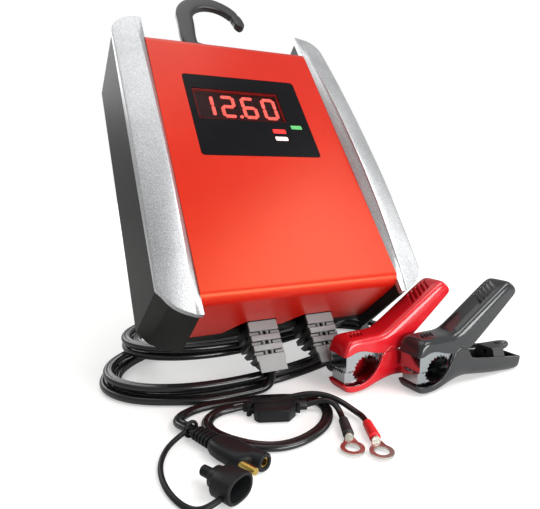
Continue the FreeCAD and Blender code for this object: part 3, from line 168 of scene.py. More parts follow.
# Front cover
# A satin red shell, injection moulded in ABS from a spark-textured tool. It drops over the rear
# tub and is held by four screws from behind.

# A noise runs from about a third to two thirds, and the gloss varies by UNEVEN either way.
NOISE_LOW, NOISE_HIGH = 0.3, 0.7
UNEVEN = 0.12
SHEEN = "Specular IOR Level"


def two_tone(tree, scale, detail, low, high):
    """Two colours mixed by a noise with scale patches to the metre, on the object's own axes."""
    where = add(tree, "ShaderNodeTexCoord")
    noise = add(tree, "ShaderNodeTexNoise",
                {"Vector": (where, "Object"), "Scale": scale, "Detail": detail})
    return add(tree, "ShaderNodeMix", {0: (noise, "Fac"), 6: linear(low), 7: linear(high)},
               data_type="RGBA")


def moulded(name, low, high, rough, grain, depth, patch=30.0, **sockets):
    """A moulded skin: two close colours in slow patches, its bump and gloss of one grain size.

    grain and patch are in millimetres, depth is the bump's height in millimetres, and sockets
    are values set on the Principled shader itself. A grain too fine for the picture is given
    as coarse as it needs to show.
    """
    material, tree, shader = blank(name)
    colour = two_tone(tree, 1000 / patch, 3.0, low, high)
    where = add(tree, "ShaderNodeTexCoord")
    fine = add(tree, "ShaderNodeTexNoise",
               {"Vector": (where, "Object"), "Scale": 1000 / grain, "Detail": 2.0})
    wear = add(tree, "ShaderNodeMapRange",
               {"Value": (fine, "Fac"), "From Min": NOISE_LOW, "From Max": NOISE_HIGH,
                "To Min": rough * (1 - UNEVEN), "To Max": min(rough * (1 + UNEVEN), 1.0)})
    bump = add(tree, "ShaderNodeBump",
               {"Height": (fine, "Fac"), "Distance": depth / 1000, "Strength": 1.0})
    tree.links.new(colour.outputs[2], shader.inputs["Base Color"])
    tree.links.new(wear.outputs["Result"], shader.inputs["Roughness"])
    tree.links.new(bump.outputs["Normal"], shader.inputs["Normal"])
    for socket, value in sockets.items():
        shader.inputs[socket].default_value = value
    return material


def clad(material, *names):
    """Gives CAD nodes their material."""
    for name in names:
        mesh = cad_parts[name].data
        mesh.materials.clear()
        mesh.materials.append(material)


# Spark-textured ABS: highlights that are broad, soft and a little warm.
red_abs = moulded("red_satin_abs", "ac120a", "b5180c", 0.31, 0.7, 0.02,
                  **{"Specular Tint": linear("ffb078"), SHEEN: 0.66})
clad(red_abs, "front_cover")

# Rear cover
# The dark tub behind, moulded in charcoal ABS with a coarser texture. It carries the side walls,
# the corners under the wings, the vents and four blackened screws.

# The coarse texture is matt and hides scuffs, so the walls stay dark beside the red.
charcoal_abs = moulded("charcoal_textured_abs", "131412", "191a18", 0.5, 0.8, 0.05, **{SHEEN: 0.17})
clad(charcoal_abs, "rear_cover")
# Steel blackened by oxide: a metal's gleam, but dark.
blackened = moulded("blackened_screw_steel", "3a3a3c", "4a4a4b", 0.4, 0.4, 0.02, Metallic=1.0)
clad(blackened, "cover_screws")

# Side trims
# Two silver wings clipped along the front edges, moulded in mass-coloured ABS with metal flake.
# Each is crowned along its length, with a ridge near the red.

# The middle of the cover's bottom bend, from which the housing leans back.
BEND = np.array([-35.42, -98.55, 75.0])
LEAN = math.radians(38.6)


def on_housing(points):
    """Points of the leaning housing's own frame, turned back by the lean and moved to its bend."""
    x, y, z = np.moveaxis(points, -1, 0)
    return np.stack([BEND[0] + x, BEND[1] + y * math.cos(LEAN) + z * math.sin(LEAN),
                     BEND[2] - y * math.sin(LEAN) + z * math.cos(LEAN)], axis=-1)


def spread(corners, count):
    """Weights that carry a row of corners to a smooth line of count points.

    The line is a quadratic B-spline: between the middles of two runs it is the blend
    (1 - t)^2, 2t(1 - t), t^2 of the middle before, the corner and the middle after.
    """
    total = len(corners)
    at = np.linspace(0, total - 2, count)
    span = np.minimum(at.astype(int), total - 3)
    t = at - span
    weights = np.zeros((count, total))
    row = np.arange(count)
    first = np.where(span == 0, 1.0, 0.5)
    last = np.where(span == total - 3, 1.0, 0.5)
    weights[row, span] += (1 - t) ** 2 * first
    weights[row, span + 1] += (1 - t) ** 2 * (1 - first) + 2 * t * (1 - t) + t ** 2 * (1 - last)
    weights[row, span + 2] += t ** 2 * last
    return weights


# Points closer than this, in metres, are one.
MERGED = 0.000005


def surface(name, points, body, material, ring=True, ends=True, wall=0.0, sharp=35.0, stands_for=()):
    """A piece from a grid of points in millimetres: rows follow it and columns go round it.

    Quads join neighbours, a ring joins its last column to its first, each end row is filled by
    one face, and an open skin gets its wall inwards.
    """
    rows, columns = points.shape[:2]
    index = np.arange(rows * columns).reshape(rows, columns)
    left = index if ring else index[:, :-1]
    right = np.roll(index, -1, axis=1) if ring else index[:, 1:]
    quads = np.stack([left[:-1], right[:-1], right[1:], left[1:]], axis=-1).reshape(-1, 4)
    faces = quads.tolist()
    if ends:
        faces += [index[0][::-1].tolist(), index[-1].tolist()]
    mesh = bpy.data.meshes.new(name)
    mesh.from_pydata(points.reshape(-1, 3) / 1000, [], faces)
    shape = bmesh.new()
    shape.from_mesh(mesh)
    bmesh.ops.remove_doubles(shape, verts=shape.verts, dist=MERGED)
    if ring:
        bmesh.ops.recalc_face_normals(shape, faces=shape.faces)
    shape.to_mesh(mesh)
    shape.free()
    mesh.shade_smooth()
    mesh.set_sharp_from_angle(angle=math.radians(sharp))
    mesh.materials.append(material)
    piece = bpy.data.objects.new(name, mesh)
    bpy.context.scene.collection.objects.link(piece)
    if wall:
        thick = piece.modifiers.new("wall", "SOLIDIFY")
        thick.thickness = wall / 1000
        thick.offset = -1
    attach(piece, body)
    if stands_for:
        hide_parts(*stands_for)
    return piece


# On the housing: the wing's ends, how far out it starts, peaks and stops, how its ridge and edge
# bow forwards, and where the curves that round its ends begin.
WING_LOW, WING_HIGH = -7.7, 273.7
ROOT, RIDGE, EDGE = 74.7, 79.2, 101.0
BOW_MIDDLE, BOW_BELOW, BOW_ABOVE = 115, 125, 160
RIDGE_END, RIDGE_BOW = 2.0, 11.0
EDGE_END, EDGE_BOW = 4.5, 8.0
FOOT_ENDS_AT = 12
FOOT_CURVE = np.polyfit([-8, -4, 2.6, FOOT_ENDS_AT], [77, 86, 94, 101], 3)
TOP_STARTS_AT, TOP_LONG, TOP_POWER = 250, 24, 2.2
WING_BACK, RIM_SHARE = 6.0, 0.9
WING_ROWS, OUTER_COLUMNS = 161, 61


def wing(side):
    """A closed section carried up the wing, its corners bowed by a parabola in the height.

    Its outer line runs from the root over the ridge to the edge, and its inner line back. Where
    it would pass the outline's rounded ends, its points stop there: on a cubic in the height at
    the foot, and at the top on the root of 1 less a power of the height.
    """
    step = np.linspace(0, math.pi, WING_ROWS)
    up = (WING_LOW + WING_HIGH) / 2 - (WING_HIGH - WING_LOW) / 2 * np.cos(step)
    crown = 1 - ((up - BOW_MIDDLE) / np.where(up < BOW_MIDDLE, BOW_BELOW, BOW_ABOVE)) ** 2
    ridge_y = RIDGE_END - RIDGE_BOW * crown
    edge_y = EDGE_END - EDGE_BOW * crown
    one = np.ones_like(up)
    outer = np.array([
        [ROOT * one, 1.4 * one], [77.0 * one, 1.2 + (ridge_y - 2) * 0.4],
        [80.0 * one, ridge_y + 0.7], [RIDGE * one, ridge_y - 0.1], [82.8 * one, ridge_y + 0.1],
        [88.0 * one, ridge_y * 0.72 + edge_y * 0.28 - 0.6],
        [94.0 * one, ridge_y * 0.4 + edge_y * 0.6 - 0.8],
        [99.0 * one, edge_y - 0.5], [100.7 * one, edge_y + 0.5],
        [EDGE * one, edge_y + 2.2], [EDGE * one, 5.4 * one], [EDGE * one, WING_BACK * one]])
    outer = np.einsum("ck,kds->scd", spread(outer, OUTER_COLUMNS), outer)
    inner = np.array([
        [98.6 * one, WING_BACK * one], [98.6 * one, edge_y + 3.6], [RIDGE + 2 * one, ridge_y + 3.2],
        [ROOT + 2 * one, 5.6 * one], [ROOT * one, 5.8 * one]]).transpose(2, 0, 1)
    near_top = np.clip((up - TOP_STARTS_AT) / TOP_LONG, 0, 1)
    top_curve = ROOT + (EDGE - ROOT) * np.sqrt(1 - near_top ** TOP_POWER)
    limit = np.where(up < FOOT_ENDS_AT, np.polyval(FOOT_CURVE, up), top_curve)
    limit = np.clip(limit, ROOT + 1, EDGE)[:, None]
    inner_limit = ROOT + (limit - ROOT) * RIM_SHARE
    x = np.concatenate([np.minimum(outer[..., 0], limit), np.minimum(inner[..., 0], inner_limit)], axis=1)
    y = np.concatenate([outer[..., 1], np.minimum(inner[..., 1], WING_BACK)], axis=1)
    return on_housing(np.stack([side * x, y, np.repeat(up[:, None], x.shape[1], axis=1)], axis=-1))


# The flakes' size and bump and the cloud's size in millimetres, and the share and range they mix at.
FLAKE, FLAKE_DEPTH, CLOUD = 0.7, 0.08, 40.0
CLOUD_SHARE, DARKEST, BRIGHTEST = 0.25, 0.42, 0.84


def flaked(name, low, high, rough):
    """Silver plastic: sharp light and dark specks of one flake's size over a slow cloud."""
    material, tree, shader = blank(name)
    where = add(tree, "ShaderNodeTexCoord")
    speck = add(tree, "ShaderNodeTexNoise",
                {"Vector": (where, "Object"), "Scale": 1000 / FLAKE, "Detail": 2.0, "Roughness": 0.7})
    cloud = add(tree, "ShaderNodeTexNoise",
                {"Vector": (where, "Object"), "Scale": 1000 / CLOUD, "Detail": 2.0})
    mixed = add(tree, "ShaderNodeMath", {0: (cloud, "Fac"), 1: CLOUD_SHARE, 2: (speck, "Fac")},
                operation="MULTIPLY_ADD")
    level = add(tree, "ShaderNodeMapRange",
                {"Value": (mixed, "Value"), "From Min": DARKEST, "From Max": BRIGHTEST})
    colour = add(tree, "ShaderNodeMix", {0: (level, "Result"), 6: linear(low), 7: linear(high)},
                 data_type="RGBA")
    bump = add(tree, "ShaderNodeBump",
               {"Height": (speck, "Fac"), "Distance": FLAKE_DEPTH / 1000, "Strength": 1.0})
    tree.links.new(colour.outputs[2], shader.inputs["Base Color"])
    tree.links.new(bump.outputs["Normal"], shader.inputs["Normal"])
    shader.inputs["Roughness"].default_value = rough
    shader.inputs["Metallic"].default_value = 0.85
    return material


# Metal flake in plastic: a salt-and-pepper grain, drawn coarser than it is so that it shows.
silver_abs = flaked("silver_flake_abs", "939597", "dcddde", 0.38)
for side, name in ((-1, "left_trim"), (1, "right_trim")):
    surface(name + "_wing", wing(side), "charger", silver_abs, stands_for=(name,))

# Display
# A printed polyester film over the recess, with a clear red acrylic filter that only the lit
# strokes of the digit module shine through, and three small frosted lamp windows.

# Polyester printed from behind: nearly black, with a faint even shine.
film = moulded("printed_polyester_film", "08080a", "0e0e11", 0.3, 1.2, 0.005, **{SHEEN: 0.07})
clad(film, "display_overlay")

# Tinted acrylic: dark red and partly clear, so the module behind it is only just seen.
filter_red, tree, shader = blank("red_acrylic_filter")
tint = two_tone(tree, 60.0, 2.0, "1c0305", "2a0508")
tree.links.new(tint.outputs[2], shader.inputs["Base Color"])
for socket, value in (("Roughness", 0.18), (SHEEN, 0.12), ("Alpha", 0.4)):
    shader.inputs[socket].default_value = value
clad(filter_red, "display_window")

# Diodes behind diffusers: strokes of nearly even light, a little brighter in spots.
lit, tree, shader = blank("lit_red_diodes")
lamp_red = two_tone(tree, 350.0, 1.0, "ff4038", "ff8476")
tree.links.new(lamp_red.outputs[2], shader.inputs["Emission Color"])
shader.inputs["Base Color"].default_value = linear("c01210")
shader.inputs["Emission Strength"].default_value = 3.4
clad(lit, "led_segments")
clad(moulded("dark_module_plastic", "1a0f10", "241516", 0.6, 0.8, 0.02), "led_module")

# The lamps' windows: one node with three colours, told apart by how far right and up they stand.
GREEN_FROM = (BEND[0] + 29.0) / 1000
RED_FROM = (BEND[2] + 140.5 * math.cos(LEAN)) / 1000
lamps, tree, shader = blank("frosted_lamp_windows")
where = add(tree, "ShaderNodeTexCoord")
axes = add(tree, "ShaderNodeSeparateXYZ", {"Vector": (where, "Object")})
is_green = add(tree, "ShaderNodeMath", {0: (axes, "X"), 1: GREEN_FROM}, operation="GREATER_THAN")
is_upper = add(tree, "ShaderNodeMath", {0: (axes, "Z"), 1: RED_FROM}, operation="GREATER_THAN")
pale = two_tone(tree, 700.0, 1.0, "e9b3ac", "fbe9e4")
reds = add(tree, "ShaderNodeMix", {0: (is_upper, "Value"), 6: (pale, 2), 7: linear("e0231f")},
           data_type="RGBA")
three = add(tree, "ShaderNodeMix", {0: (is_green, "Value"), 6: (reds, 2), 7: linear("4fa05c")},
            data_type="RGBA")
for socket in ("Base Color", "Emission Color"):
    tree.links.new(three.outputs[2], shader.inputs[socket])
shader.inputs["Emission Strength"].default_value = 0.25
shader.inputs["Roughness"].default_value = 0.3
clad(lamps, "indicator_lenses")

# Inside
# What the tub holds: two glass-epoxy boards, a laminated transformer with a taped winding, an
# extruded heat sink, sleeved capacitors, a relay and a wound choke. Seen only through the vents.

WAVE_RUN = 314.0


def banded(name, low, high, across, step, rough, metallic=0.0):
    """Bands of two colours a step in millimetres apart along one axis of the object.

    A wave texture of scale 1 repeats every WAVE_RUN millimetres.
    """
    material, tree, shader = blank(name)
    where = add(tree, "ShaderNodeTexCoord")
    wave = add(tree, "ShaderNodeTexWave",
               {"Vector": (where, "Object"), "Scale": WAVE_RUN / step, "Distortion": 0.4, "Detail": 1.0},
               bands_direction=across)
    colour = add(tree, "ShaderNodeMix", {0: (wave, "Fac"), 6: linear(low), 7: linear(high)},
                 data_type="RGBA")
    bump = add(tree, "ShaderNodeBump", {"Height": (wave, "Fac"), "Distance": 0.0001, "Strength": 0.6})
    tree.links.new(colour.outputs[2], shader.inputs["Base Color"])
    tree.links.new(bump.outputs["Normal"], shader.inputs["Normal"])
    shader.inputs["Roughness"].default_value = rough
    shader.inputs["Metallic"].default_value = metallic
    return material


# The board is green and a little shiny. Steel sheets, turns of tape, extrusion lines and turns of
# wire show as bands of their real spacing, and the sleeves and cases are plain and satin.
board = moulded("green_glass_epoxy", "12502a", "1c6a39", 0.3, 3.5, 0.03, patch=6.0)
clad(board, "display_board", "power_board")
clad(banded("laminated_core_steel", "55575b", "85888d", "Y", 1.0, 0.4, 0.9), "transformer_core")
clad(banded("yellow_winding_tape", "c8a132", "e0bc4c", "Z", 9.0, 0.45), "transformer_winding")
clad(banded("extruded_aluminium", "a9abae", "c4c6c9", "X", 0.8, 0.38, 1.0), "heat_sink")
clad(moulded("capacitor_sleeve", "1c1f33", "262a42", 0.35, 2.0, 0.02), "capacitors")
clad(moulded("blue_relay_case", "1d4796", "2452a6", 0.4, 1.0, 0.02), "output_relay")
clad(banded("enamelled_copper_turns", "7c3a1c", "b8683a", "X", 1.2, 0.3, 0.8), "inlet_choke")

# Hook
# A flat question-mark hook of black glass-filled nylon that turns on its stem in a collar in the
# top, so the charger can hang under an open bonnet. Its edges are rounded and its skin is smooth.

# Glass-filled nylon from a polished tool: black with a soft, even shine.
black_nylon = moulded("black_nylon", "19191a", "222223", 0.36, 0.9, 0.02)
# The bar's middle behind the housing's front, half its thickness, and the power of its corners.
HOOK_MIDDLE, HOOK_HALF, HOOK_ROUNDING = 20, 3.5, 0.45
TIP_LONG = 5.2
NOTCH_BEFORE_TIP, NOTCH_LONG, NOTCH_DEEP = 17, 2.0, 1.0
# Each circle of the bow: its middle, across and up the housing, and its radius.
BOW_OUTER, BOW_INNER = (0, 307.5, 35), (3, 306, 21.5)


def headings(line):
    """Unit vectors along a line of points, from the differences of each point's neighbours."""
    way = np.gradient(line, axis=0)
    return way / np.linalg.norm(way, axis=1)[:, None]


def distances(line):
    """How far along a line each of its points lies: the running sum of its steps."""
    return np.concatenate([[0], np.cumsum(np.linalg.norm(np.diff(line, axis=0), axis=1))])


def squared(wave, power):
    """A sine or cosine raised to a power with its sign kept, which squares up a circle."""
    return np.sign(wave) * np.abs(wave) ** power


def hook_shape():
    """A rounded flat bar: half widths and a middle line over the hook's length, 7 mm thick.

    The foot and neck follow a smooth line on corners, each with its half width. The bow runs
    between two circles, an outer of 35 mm and an inner of 21.5 mm set 3 mm aside, so that it
    thins towards the tip, where the width closes in a quarter circle after a small notch.
    """
    corners = np.array([(5.4, 265.0, 3.6), (4.0, 265.0, 3.8), (-8, 264.8, 4.0), (-19, 265.2, 4.6),
                        (-27.0, 267.4, 6.8), (-28.6, 279.0, 7.6), (-27.4, 292.0, 8.0), (-26.8, 300.0, 8.1)])
    foot = spread(corners, 50) @ corners
    turn = np.radians(np.linspace(172, -8, 120))
    outer, inner = (np.stack([x + radius * np.cos(turn), z + radius * np.sin(turn)], axis=-1)
                    for x, z, radius in (BOW_OUTER, BOW_INNER))
    line = np.concatenate([foot[:, :2], (outer + inner) / 2])
    half = np.concatenate([foot[:, 2], np.linalg.norm(outer - inner, axis=1) / 2])
    way = headings(line)
    gone = distances(line)
    left = gone[-1] - gone
    notch = NOTCH_DEEP * np.exp(-((left - NOTCH_BEFORE_TIP) / NOTCH_LONG) ** 2)
    closing = 1 - np.clip(1 - left / TIP_LONG, 0, 1) ** 2
    half = (half - notch) * np.sqrt(np.clip(closing, 0.02, 1))
    turn = np.linspace(0, 2 * math.pi, 40, endpoint=False)
    wide = squared(np.cos(turn), HOOK_ROUNDING)
    deep = HOOK_MIDDLE + HOOK_HALF * squared(np.sin(turn), HOOK_ROUNDING)
    across = np.stack([way[:, 1], -way[:, 0]], axis=-1)
    flat = line[:, None] + across[:, None] * (half[:, None] * wide)[..., None]
    deep = np.broadcast_to(deep, flat.shape[:2])
    return on_housing(np.stack([flat[..., 0], deep, flat[..., 1]], axis=-1))


surface("hook_bar", hook_shape(), "hook_body", black_nylon, stands_for=("hook",))
stem_turn = np.linspace(0, 2 * math.pi, 32, endpoint=False)
stem_up = np.array([238, 238, 242, 242, 264, 265.0])
stem_wide = np.array([3.0, 6.4, 6.4, 3.95, 3.95, 3.2])[:, None]
stem = np.stack([stem_wide * np.cos(stem_turn), HOOK_MIDDLE + stem_wide * np.sin(stem_turn),
                 np.repeat(stem_up[:, None], len(stem_turn), axis=1)], axis=-1)
surface("hook_stem", on_housing(stem), "hook_body", black_nylon)


def rounded_copy(name, width, material, body="charger"):
    """A merged copy of a CAD node with its edges rounded by a bevel, which stands for the node."""
    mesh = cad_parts[name].data.copy()
    shape = bmesh.new()
    shape.from_mesh(mesh)
    bmesh.ops.remove_doubles(shape, verts=shape.verts, dist=2 * MERGED)
    bmesh.ops.dissolve_limit(shape, angle_limit=math.radians(1.0), verts=shape.verts, edges=shape.edges)
    shape.to_mesh(mesh)
    shape.free()
    mesh.materials.clear()
    mesh.materials.append(material)
    piece = bpy.data.objects.new(name + "_rounded", mesh)
    bpy.context.scene.collection.objects.link(piece)
    soften = piece.modifiers.new("edges", "BEVEL")
    soften.width = width / 1000
    soften.segments = 3
    soften.limit_method = "ANGLE"
    soften.angle_limit = math.radians(35)
    soften.harden_normals = True
    mesh.shade_smooth()
    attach(piece, body)
    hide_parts(name)


rounded_copy("hook_collar", 0.5, black_nylon)

# Cord boots
# Ribbed strain reliefs of soft black vinyl, moulded round the two cords where they leave the
# bottom. Bars with slots between them let each boot bend.

# Soft black vinyl with light and shade painted in: its front faces are painted satin grey as if lit,
# and the slots between the bars are painted dark as shade, by how deep a point lies behind the front
# faces, which stand BOOT_FRONT millimetres behind the housing's front.
BOOT_FRONT = 44
FACE_ENDS, SLOT_STARTS = 0.0002, 0.0034
# Painted light: the black vinyl's colour is a mid grey, standing in for the light on the front faces.
boot_vinyl_painted = moulded("black_vinyl_painted_light_and_shade", "747474", "828282", 0.4, 0.9, 0.04)
tree, shader = boot_vinyl_painted.node_tree, boot_vinyl_painted.node_tree.nodes["Principled BSDF"]
painted_lit_grey = shader.inputs["Base Color"].links[0].from_socket
where = add(tree, "ShaderNodeTexCoord")
inward = add(tree, "ShaderNodeVectorMath",
             {0: (where, "Object"), 1: (0, math.cos(LEAN), -math.sin(LEAN))}, operation="DOT_PRODUCT")
front_at = (BOOT_FRONT + BEND[1] * math.cos(LEAN) - BEND[2] * math.sin(LEAN)) / 1000
depth = add(tree, "ShaderNodeMapRange",
            {"Value": (inward, "Value"), "From Min": front_at + FACE_ENDS,
             "From Max": front_at + SLOT_STARTS})
# Painted shade: the slots are mixed to near black by their depth behind the front faces.
painted_slot_shade = add(tree, "ShaderNodeMix", {0: (depth, "Result"), 7: linear("0d0d0d")}, data_type="RGBA")
tree.links.new(painted_lit_grey, painted_slot_shade.inputs[6])
tree.links.new(painted_slot_shade.outputs[2], shader.inputs["Base Color"])
rounded_copy("dc_boot", 0.5, boot_vinyl_painted)
rounded_copy("ac_boot", 0.5, boot_vinyl_painted)

# Charger cords
# Two flat twin cords, each two wires side by side in one glossy black vinyl sheath, coiled under
# the leaning charger: the clamp cable below and in front, the mains cord on it and behind.


def cord_line(name, route):
    """The middle line of a cord, in millimetres: a NURBS spline of order 3 on the route's points."""
    curve = bpy.data.curves.new(name, "CURVE")
    curve.dimensions = "3D"
    curve.resolution_u = 6
    spline = curve.splines.new("NURBS")
    spline.points.add(len(route) - 1)
    held = np.ones((len(route), 4))
    held[:, :3] = np.array(route) / 1000
    spline.points.foreach_set("co", held.ravel())
    spline.order_u = 3
    spline.use_endpoint_u = True
    holder = bpy.data.objects.new(name, curve)
    mesh = bpy.data.meshes.new_from_object(holder)
    line = np.zeros(len(mesh.vertices) * 3)
    mesh.vertices.foreach_get("co", line)
    bpy.data.objects.remove(holder)
    return line.reshape(-1, 3) * 1000


def twin_section(wide, high):
    """Outline of two wires side by side: 125 degrees either way of two ovals that meet in a groove."""
    lobe = wide / 4
    turn = np.radians(np.linspace(-125, 125, 15))
    right = np.stack([lobe * 0.92 + lobe * 1.08 * np.cos(turn), high / 2 * np.sin(turn)], axis=-1)
    return np.concatenate([right, -right])


def round_section(wide):
    """Outline of a round cord: a circle of that diameter."""
    turn = np.linspace(0, 2 * math.pi, 16, endpoint=False)
    return np.stack([wide / 2 * np.cos(turn), wide / 2 * np.sin(turn)], axis=-1)


# Where the level part of its unit direction is less than this, a line has no heading.
STEEP = 0.35


def carried(line, section):
    """A section carried along a line, its first axis level and square to the line's heading.

    Where the line starts out too steep to have a heading, it takes the first one further on.
    """
    way = headings(line)
    heading = way[:, :2].copy()
    first = int(np.argmax(np.linalg.norm(heading, axis=1) > STEEP))
    heading[:first] = heading[first]
    side = np.stack([heading[:, 1], -heading[:, 0], np.zeros(len(line))], axis=-1)
    side /= np.linalg.norm(side, axis=1)[:, None]
    over = np.cross(side, way)
    over /= np.linalg.norm(over, axis=1)[:, None]
    return line[:, None] + section[None, :, :1] * side[:, None] + section[None, :, 1:] * over[:, None]


def free_cord(name, route, section, material, slot, nodes, **facts):
    """A cord piece on its route that stands for its CAD nodes; the facts given are not used."""
    line = cord_line(name, route)
    piece = surface(name, carried(line, section), "charger", material, sharp=60.0, stands_for=nodes)


def from_place(place, *points):
    """Points given from a place on the table, in the part's frame."""
    return [(place[0] + x, place[1] + y, z) for x, y, z in points]


# A coil's step from turn to turn, its rise from layer to layer and its straight leads, and how
# egg-shaped and turned it lies.
COIL_STEP, COIL_LAYER, COIL_LEAD = 8.3, 6.7, 6.0
COIL_EGG, COIL_TILT = 0.2, math.radians(9)
COIL_POINT_EVERY = 15


def coil_route(centre, half_long, half_wide, start, way, turned, low):
    """Control points of a coil, twenty-four to a turn, with a short straight lead at each end.

    An egg-shaped oval with its left lobe fatter shrinks by a step a turn to the half-way mark
    and grows again after it, and climbs one layer in the half turn there.
    """
    gone = np.linspace(0, turned, round(turned / COIL_POINT_EVERY) + 1)

    def place(gone):
        inwards = np.minimum(gone, turned - gone) / 360 * COIL_STEP
        angle = np.radians(start + way * gone)
        climb = np.clip((gone - turned / 2 + 90) / 180, 0, 1)
        rise = low + COIL_LAYER * (3 * climb ** 2 - 2 * climb ** 3)
        along = (half_long - inwards) * np.cos(angle)
        across = (half_wide * (1 - COIL_EGG * np.cos(angle)) - inwards) * np.sin(angle)
        return np.stack([centre[0] + along * math.cos(COIL_TILT) - across * math.sin(COIL_TILT),
                         centre[1] + along * math.sin(COIL_TILT) + across * math.cos(COIL_TILT), rise],
                        axis=-1)

    points = place(gone)
    ways = place(np.array([0.0, turned])) - place(np.array([0.01, turned - 0.01]))
    ways[:, 2] = 0
    ways /= np.linalg.norm(ways, axis=1)[:, None]
    begin, end = points[0] + ways[0] * COIL_LEAD, points[-1] + ways[1] * COIL_LEAD
    before, after = begin + ways[0] * 2 * COIL_LEAD, end + ways[1] * 2 * COIL_LEAD
    return [tuple(point) for point in (before, begin, *points[1:-1], end, after)]


# Extruded vinyl: black and glossy, with long thin highlights and hardly any texture.
black_vinyl = moulded("black_cord_vinyl", "0b0b0c", "131314", 0.24, 1.5, 0.003)
CORD_WIDE, CORD_HIGH = 7.4, 4.9
twin = twin_section(CORD_WIDE, CORD_HIGH)
BOOT_LEVEL = 17.85

DC_FOOT = from_place(BEND, (-20.8, 16.5, 0))[0]
SPLIT = from_place(BEND, (131.5, 60.0, 4.0))[0]
dc_route = from_place(DC_FOOT, (0, 0, BOOT_LEVEL), (0, 0, 9.0), (-4.5, 0.2, 4.4), (-12, 0.2, 3.3),
                      (-27, -0.6, 3.2))
dc_route += coil_route(from_place(BEND, (-3, 85, 0))[0], half_long=128, half_wide=61,
                       start=-135, way=-1, turned=945, low=3.2)
dc_route += from_place(SPLIT, (0, 18, 5.2), (0, 8, SPLIT[2]))
free_cord("clamp_cable", dc_route, twin, black_vinyl, "cord_black", ("dc_cable", "dc_coil", "dc_tail"),
          length=1.62, diameter=CORD_WIDE / 1000, far_end="fitting", lay="coiled",
          with_pieces=["lead_split"])

AC_FOOT = from_place(BEND, (26.4, 16.5, 0))[0]
PLUG_BACK = from_place(BEND, (6.0, 197.0, 8.5))[0]
RUN_OUT = 14
ac_coil = coil_route(from_place(BEND, (2, 118, 0))[0], half_long=116, half_wide=56,
                     start=-60, way=1, turned=1170, low=16.5)
away = np.array(ac_coil[-1]) - np.array(ac_coil[-2])
clear = np.array(ac_coil[-1]) + away / np.linalg.norm(away) * RUN_OUT
ac_route = from_place(AC_FOOT, (0, 0, BOOT_LEVEL), (0, 0, 10.5), (7, 1.5, 6.4), (15, 6, 9.2),
                      (19, 14.5, 14.6), (18.6, 25.5, 16.9), (16.8, 37.5, 16.8), (17.4, 49.3, 16.6))
ac_route += ac_coil[:-1] + [tuple(clear)]
ac_route += from_place(clear, (-14, 9, 20.0), (-28, 17, 14.5))
ac_route += from_place(PLUG_BACK, (15, 0, 9.5), (4, 0, 8.5)) + [PLUG_BACK]
free_cord("mains_cord", ac_route, twin, black_vinyl, "cord_black", ("ac_cord", "ac_coil", "ac_tail"),
          length=1.83, diameter=CORD_WIDE / 1000, far_end="plug", lay="coiled",
          with_pieces=["plug_body", "plug_blades"])

# Mains plug
# A two-blade plug moulded in black vinyl round the cord's end, as is the split where the clamp
# cable parts into its two leads. The blades are stamped from brass strip.

# Moulded vinyl is duller than the extruded sheath, and the brass is left bare and yellow.
plug_vinyl = moulded("plug_vinyl", "1b1b1c", "242425", 0.42, 0.8, 0.04)
clad(plug_vinyl, "plug_body", "lead_split")
brass = moulded("stamped_brass", "b89a4c", "cbb060", 0.28, 0.6, 0.01, Metallic=1.0)
clad(brass, "plug_blades")

# Clamps
# Two spring clamps: glossy polypropylene grips with moulded slots, over toothed jaws pressed from
# chromed steel, turning on a plated pin with a coil spring. Each lead is crimped in a clip.

# How far both clamps are turned, half their width, and where their frames stand on the table.
CLAMP_TURN = math.radians(4)
CLAMP_HALF = 11.0
CLAMP_PLACES = {"red": (-7.187, -100.077), "black": (37.813, -122.077)}


def laid(points, place, angle):
    """Points of a piece's own frame, turned about the vertical and moved to a place on the table."""
    x, y, z = np.moveaxis(np.asarray(points, float), -1, 0)
    right, back = place
    return np.stack([right + x * math.cos(angle) - y * math.sin(angle),
                     back + x * math.sin(angle) + y * math.cos(angle), z], axis=-1)


def on_clamp(points, name):
    """Points of a clamp's frame, turned a little to the left and moved to where it lies."""
    return laid(points, CLAMP_PLACES[name], CLAMP_TURN)


def even(corners, count):
    """A smooth line on corners, with its points spaced evenly along it."""
    corners = np.array(corners, float)
    line = spread(corners, count * 6) @ corners
    gone = distances(line)
    at = np.linspace(0, gone[-1], count)
    return np.stack([np.interp(at, gone, line[:, axis]) for axis in range(2)], axis=-1)


# Lines in the clamp's own frame: along it from the jaws, and up from the table.
UPPER_BACK = [(-8, 28.3), (-7.3, 33), (-4.2, 38.4), (1, 39.7), (14, 39.9), (24, 39.8), (30, 41.4),
              (40, 47.6), (60, 60.2), (78, 71.5), (83, 73.0), (87.5, 71.0), (91, 65.6)]
UPPER_EDGE = [(-7.9, 28.1), (-5.5, 28.4), (1, 31), (8, 30.9), (16, 28.2), (25, 26.4), (35, 26.2),
              (42.5, 28.6), (50, 33.8), (70, 49.0), (87, 62.4), (90.8, 65.3)]
LOWER_BACK = [(-7.8, 7.2), (-6.8, 3.0), (-2.5, 0.8), (4, 0.5), (11, 0.9), (24, 4.0), (38, 6.2),
              (52, 4.7), (66, 2.7), (84, 1.0), (98, 0.2), (102.8, 1.4), (103.5, 6), (103.2, 10.4)]
LOWER_EDGE = [(-7.7, 7.3), (-3, 6.6), (4, 5.8), (12, 7.8), (18, 12), (23.5, 19.5), (26, 27),
              (33, 31.5), (40, 27), (43.5, 20.5), (48, 18.8), (70, 15.6), (90, 12.4), (103, 10.6)]
